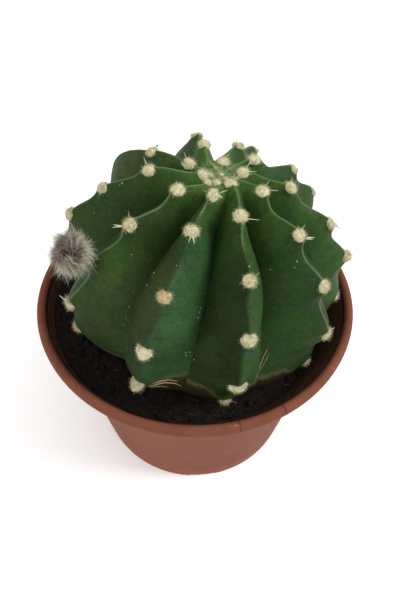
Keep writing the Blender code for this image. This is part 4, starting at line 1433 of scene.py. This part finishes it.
def bud_lock(out, rng):
    """How the hair grows at a place of the bud: the way it sweeps, its length and its tint."""
    across = out.dot(BUD_PARTING) + 0.15 * noise_at(out, 0.45)
    # Painted shade along the parting and in the hollows: darker, shorter hair.
    shadow = smooth(0.3, 0.1, abs(across)) * smooth(0.85, 0.6, out.x)
    for hollow in BUD_SHADED_HOLLOWS:
        shadow = max(shadow, smooth(0.93, 0.98, out.dot(hollow)))
    hanging = max(smooth(0.4, 0.85, out.x), smooth(-0.1, -0.6, out.z))
    hanging *= 1 - shadow
    swirl = Vector([noise_at(out + Vector((BUD_SWIRL * i, 1, 7)), 0.6) for i in range(3)])
    sweep = swirl * 1.6 + random_direction(rng) * 0.5
    sweep += BUD_PARTING * math.copysign(0.45, across) - Vector((0, 0, 0.8 * hanging))
    sweep += BUD_RISE * (0.9 * smooth(-0.2, 0.3, across) - 0.4 * smooth(0.5, 0.9, out.x))
    flow = sweep - out * sweep.dot(out)
    flow *= min(1.0, 1 / flow.length)
    length = MM * rng.uniform(2.4, 4.0) * (1 - 0.6 * shadow)
    length *= 1 + 0.35 * smooth(0.75, 0.95, out.dot(BUD_WISPS)) - 0.45 * smooth(0.6, 0.85, out.dot(BUD_THIN))
    tint = (0.6 * rng.random() + 0.9 * shadow) * (1 - 0.6 * hanging)
    if rng.random() < smooth(0.4, 0.9, out.dot(BUD_TAN)) - shadow:
        tint = rng.uniform(1.2, 1.8)
    return flow, length, tint


def make_bud_hair(centre, turn):
    """Locks of long soft hair, matted and swirled, with a parting in painted shade."""
    rng = random.Random(SEEDS["bud"])
    strands = []
    for lock in range(BUD_LOCKS):
        height = 1 - 1.94 * (lock + 0.5) / BUD_LOCKS
        ring = math.sqrt(1 - height**2)
        angle = lock * GOLDEN_ANGLE
        out = turn @ Vector((ring * math.cos(angle), ring * math.sin(angle), height))
        flow, lock_length, lock_tint = bud_lock(out, rng)
        for _ in range(HAIRS_PER_LOCK):
            spread = random_direction(rng)
            root = centre + (out + spread * 0.28).normalized() * BUD_RADIUS * BUD_HAIR_ROOT
            along = (out * 0.6 + flow * 0.65 + spread * 0.35).normalized()
            bend = flow * 0.55 - out * 0.3 + random_direction(rng) * 0.35
            length = lock_length * rng.uniform(0.5, 1.25)
            tint = max(0.0, lock_tint + rng.gauss(0, 0.2))
            strands.append(Strand(root, along, bend, length, MM * rng.uniform(0.035, 0.06), tint))
    keep(strands_object("bud_hair", strands, HAIR_ROWS), "flower_bud", bud_hair_material())


def make_stage():
    """A wide white floor, a soft key light from the upper right and a weaker one from the left."""
    mesh = shape_mesh("floor", bmesh.ops.create_circle, cap_ends=True, segments=96, radius=FLOOR_RADIUS)
    mesh.materials.append(floor_material())
    floor = link("floor", mesh)
    bpy.context.scene.world = studio_world()
    for name, (place, size, power) in LIGHTS.items():
        light = bpy.data.lights.new(name, "AREA")
        light.shape = "DISK"
        light.size = size
        light.energy = power
        obj = link(name, light)
        obj.location = place
        obj.rotation_euler = (LIGHT_AIM - Vector(place)).to_track_quat("-Z", "Y").to_euler()


def studio_world():
    """White light all round, strongest from straight above."""
    world = bpy.data.worlds.new("studio")
    world.use_nodes = True
    nodes = Nodes(world.node_tree)
    place = nodes.add("TexCoord", {}).outputs["Generated"]
    height = nodes.add("SeparateXYZ", {0: place}).outputs["Z"]
    strength = nodes.add("MapRange", {"Value": height, "To Min": WORLD_LOW, "To Max": WORLD_HIGH})
    background = world.node_tree.nodes["Background"]
    nodes.join((1, 1, 1, 1), background.inputs["Color"])
    nodes.join(strength.outputs["Result"], background.inputs["Strength"])
    return world


def make_camera():
    camera = bpy.data.cameras.new("camera")
    camera.lens = CAMERA_LENS
    camera.clip_start = CAMERA_NEAR
    obj = link("camera", camera)
    heading = Matrix.Rotation(CAMERA_HEADING, 4, "Z")
    tilt = Matrix.Rotation(math.pi / 2 - CAMERA_DOWN, 4, "X")
    roll = Matrix.Rotation(CAMERA_ROLL, 4, "Z")
    obj.matrix_world = Matrix.Translation(CAMERA_PLACE) @ heading @ tilt @ roll
    bpy.context.scene.camera = obj


make_camera()
make_stage()
make_pot()
make_soil()
make_skin()
make_scars()
make_specks()
make_wool()
make_spines()
make_bud()
bpy.context.scene.view_settings.view_transform = "Standard"
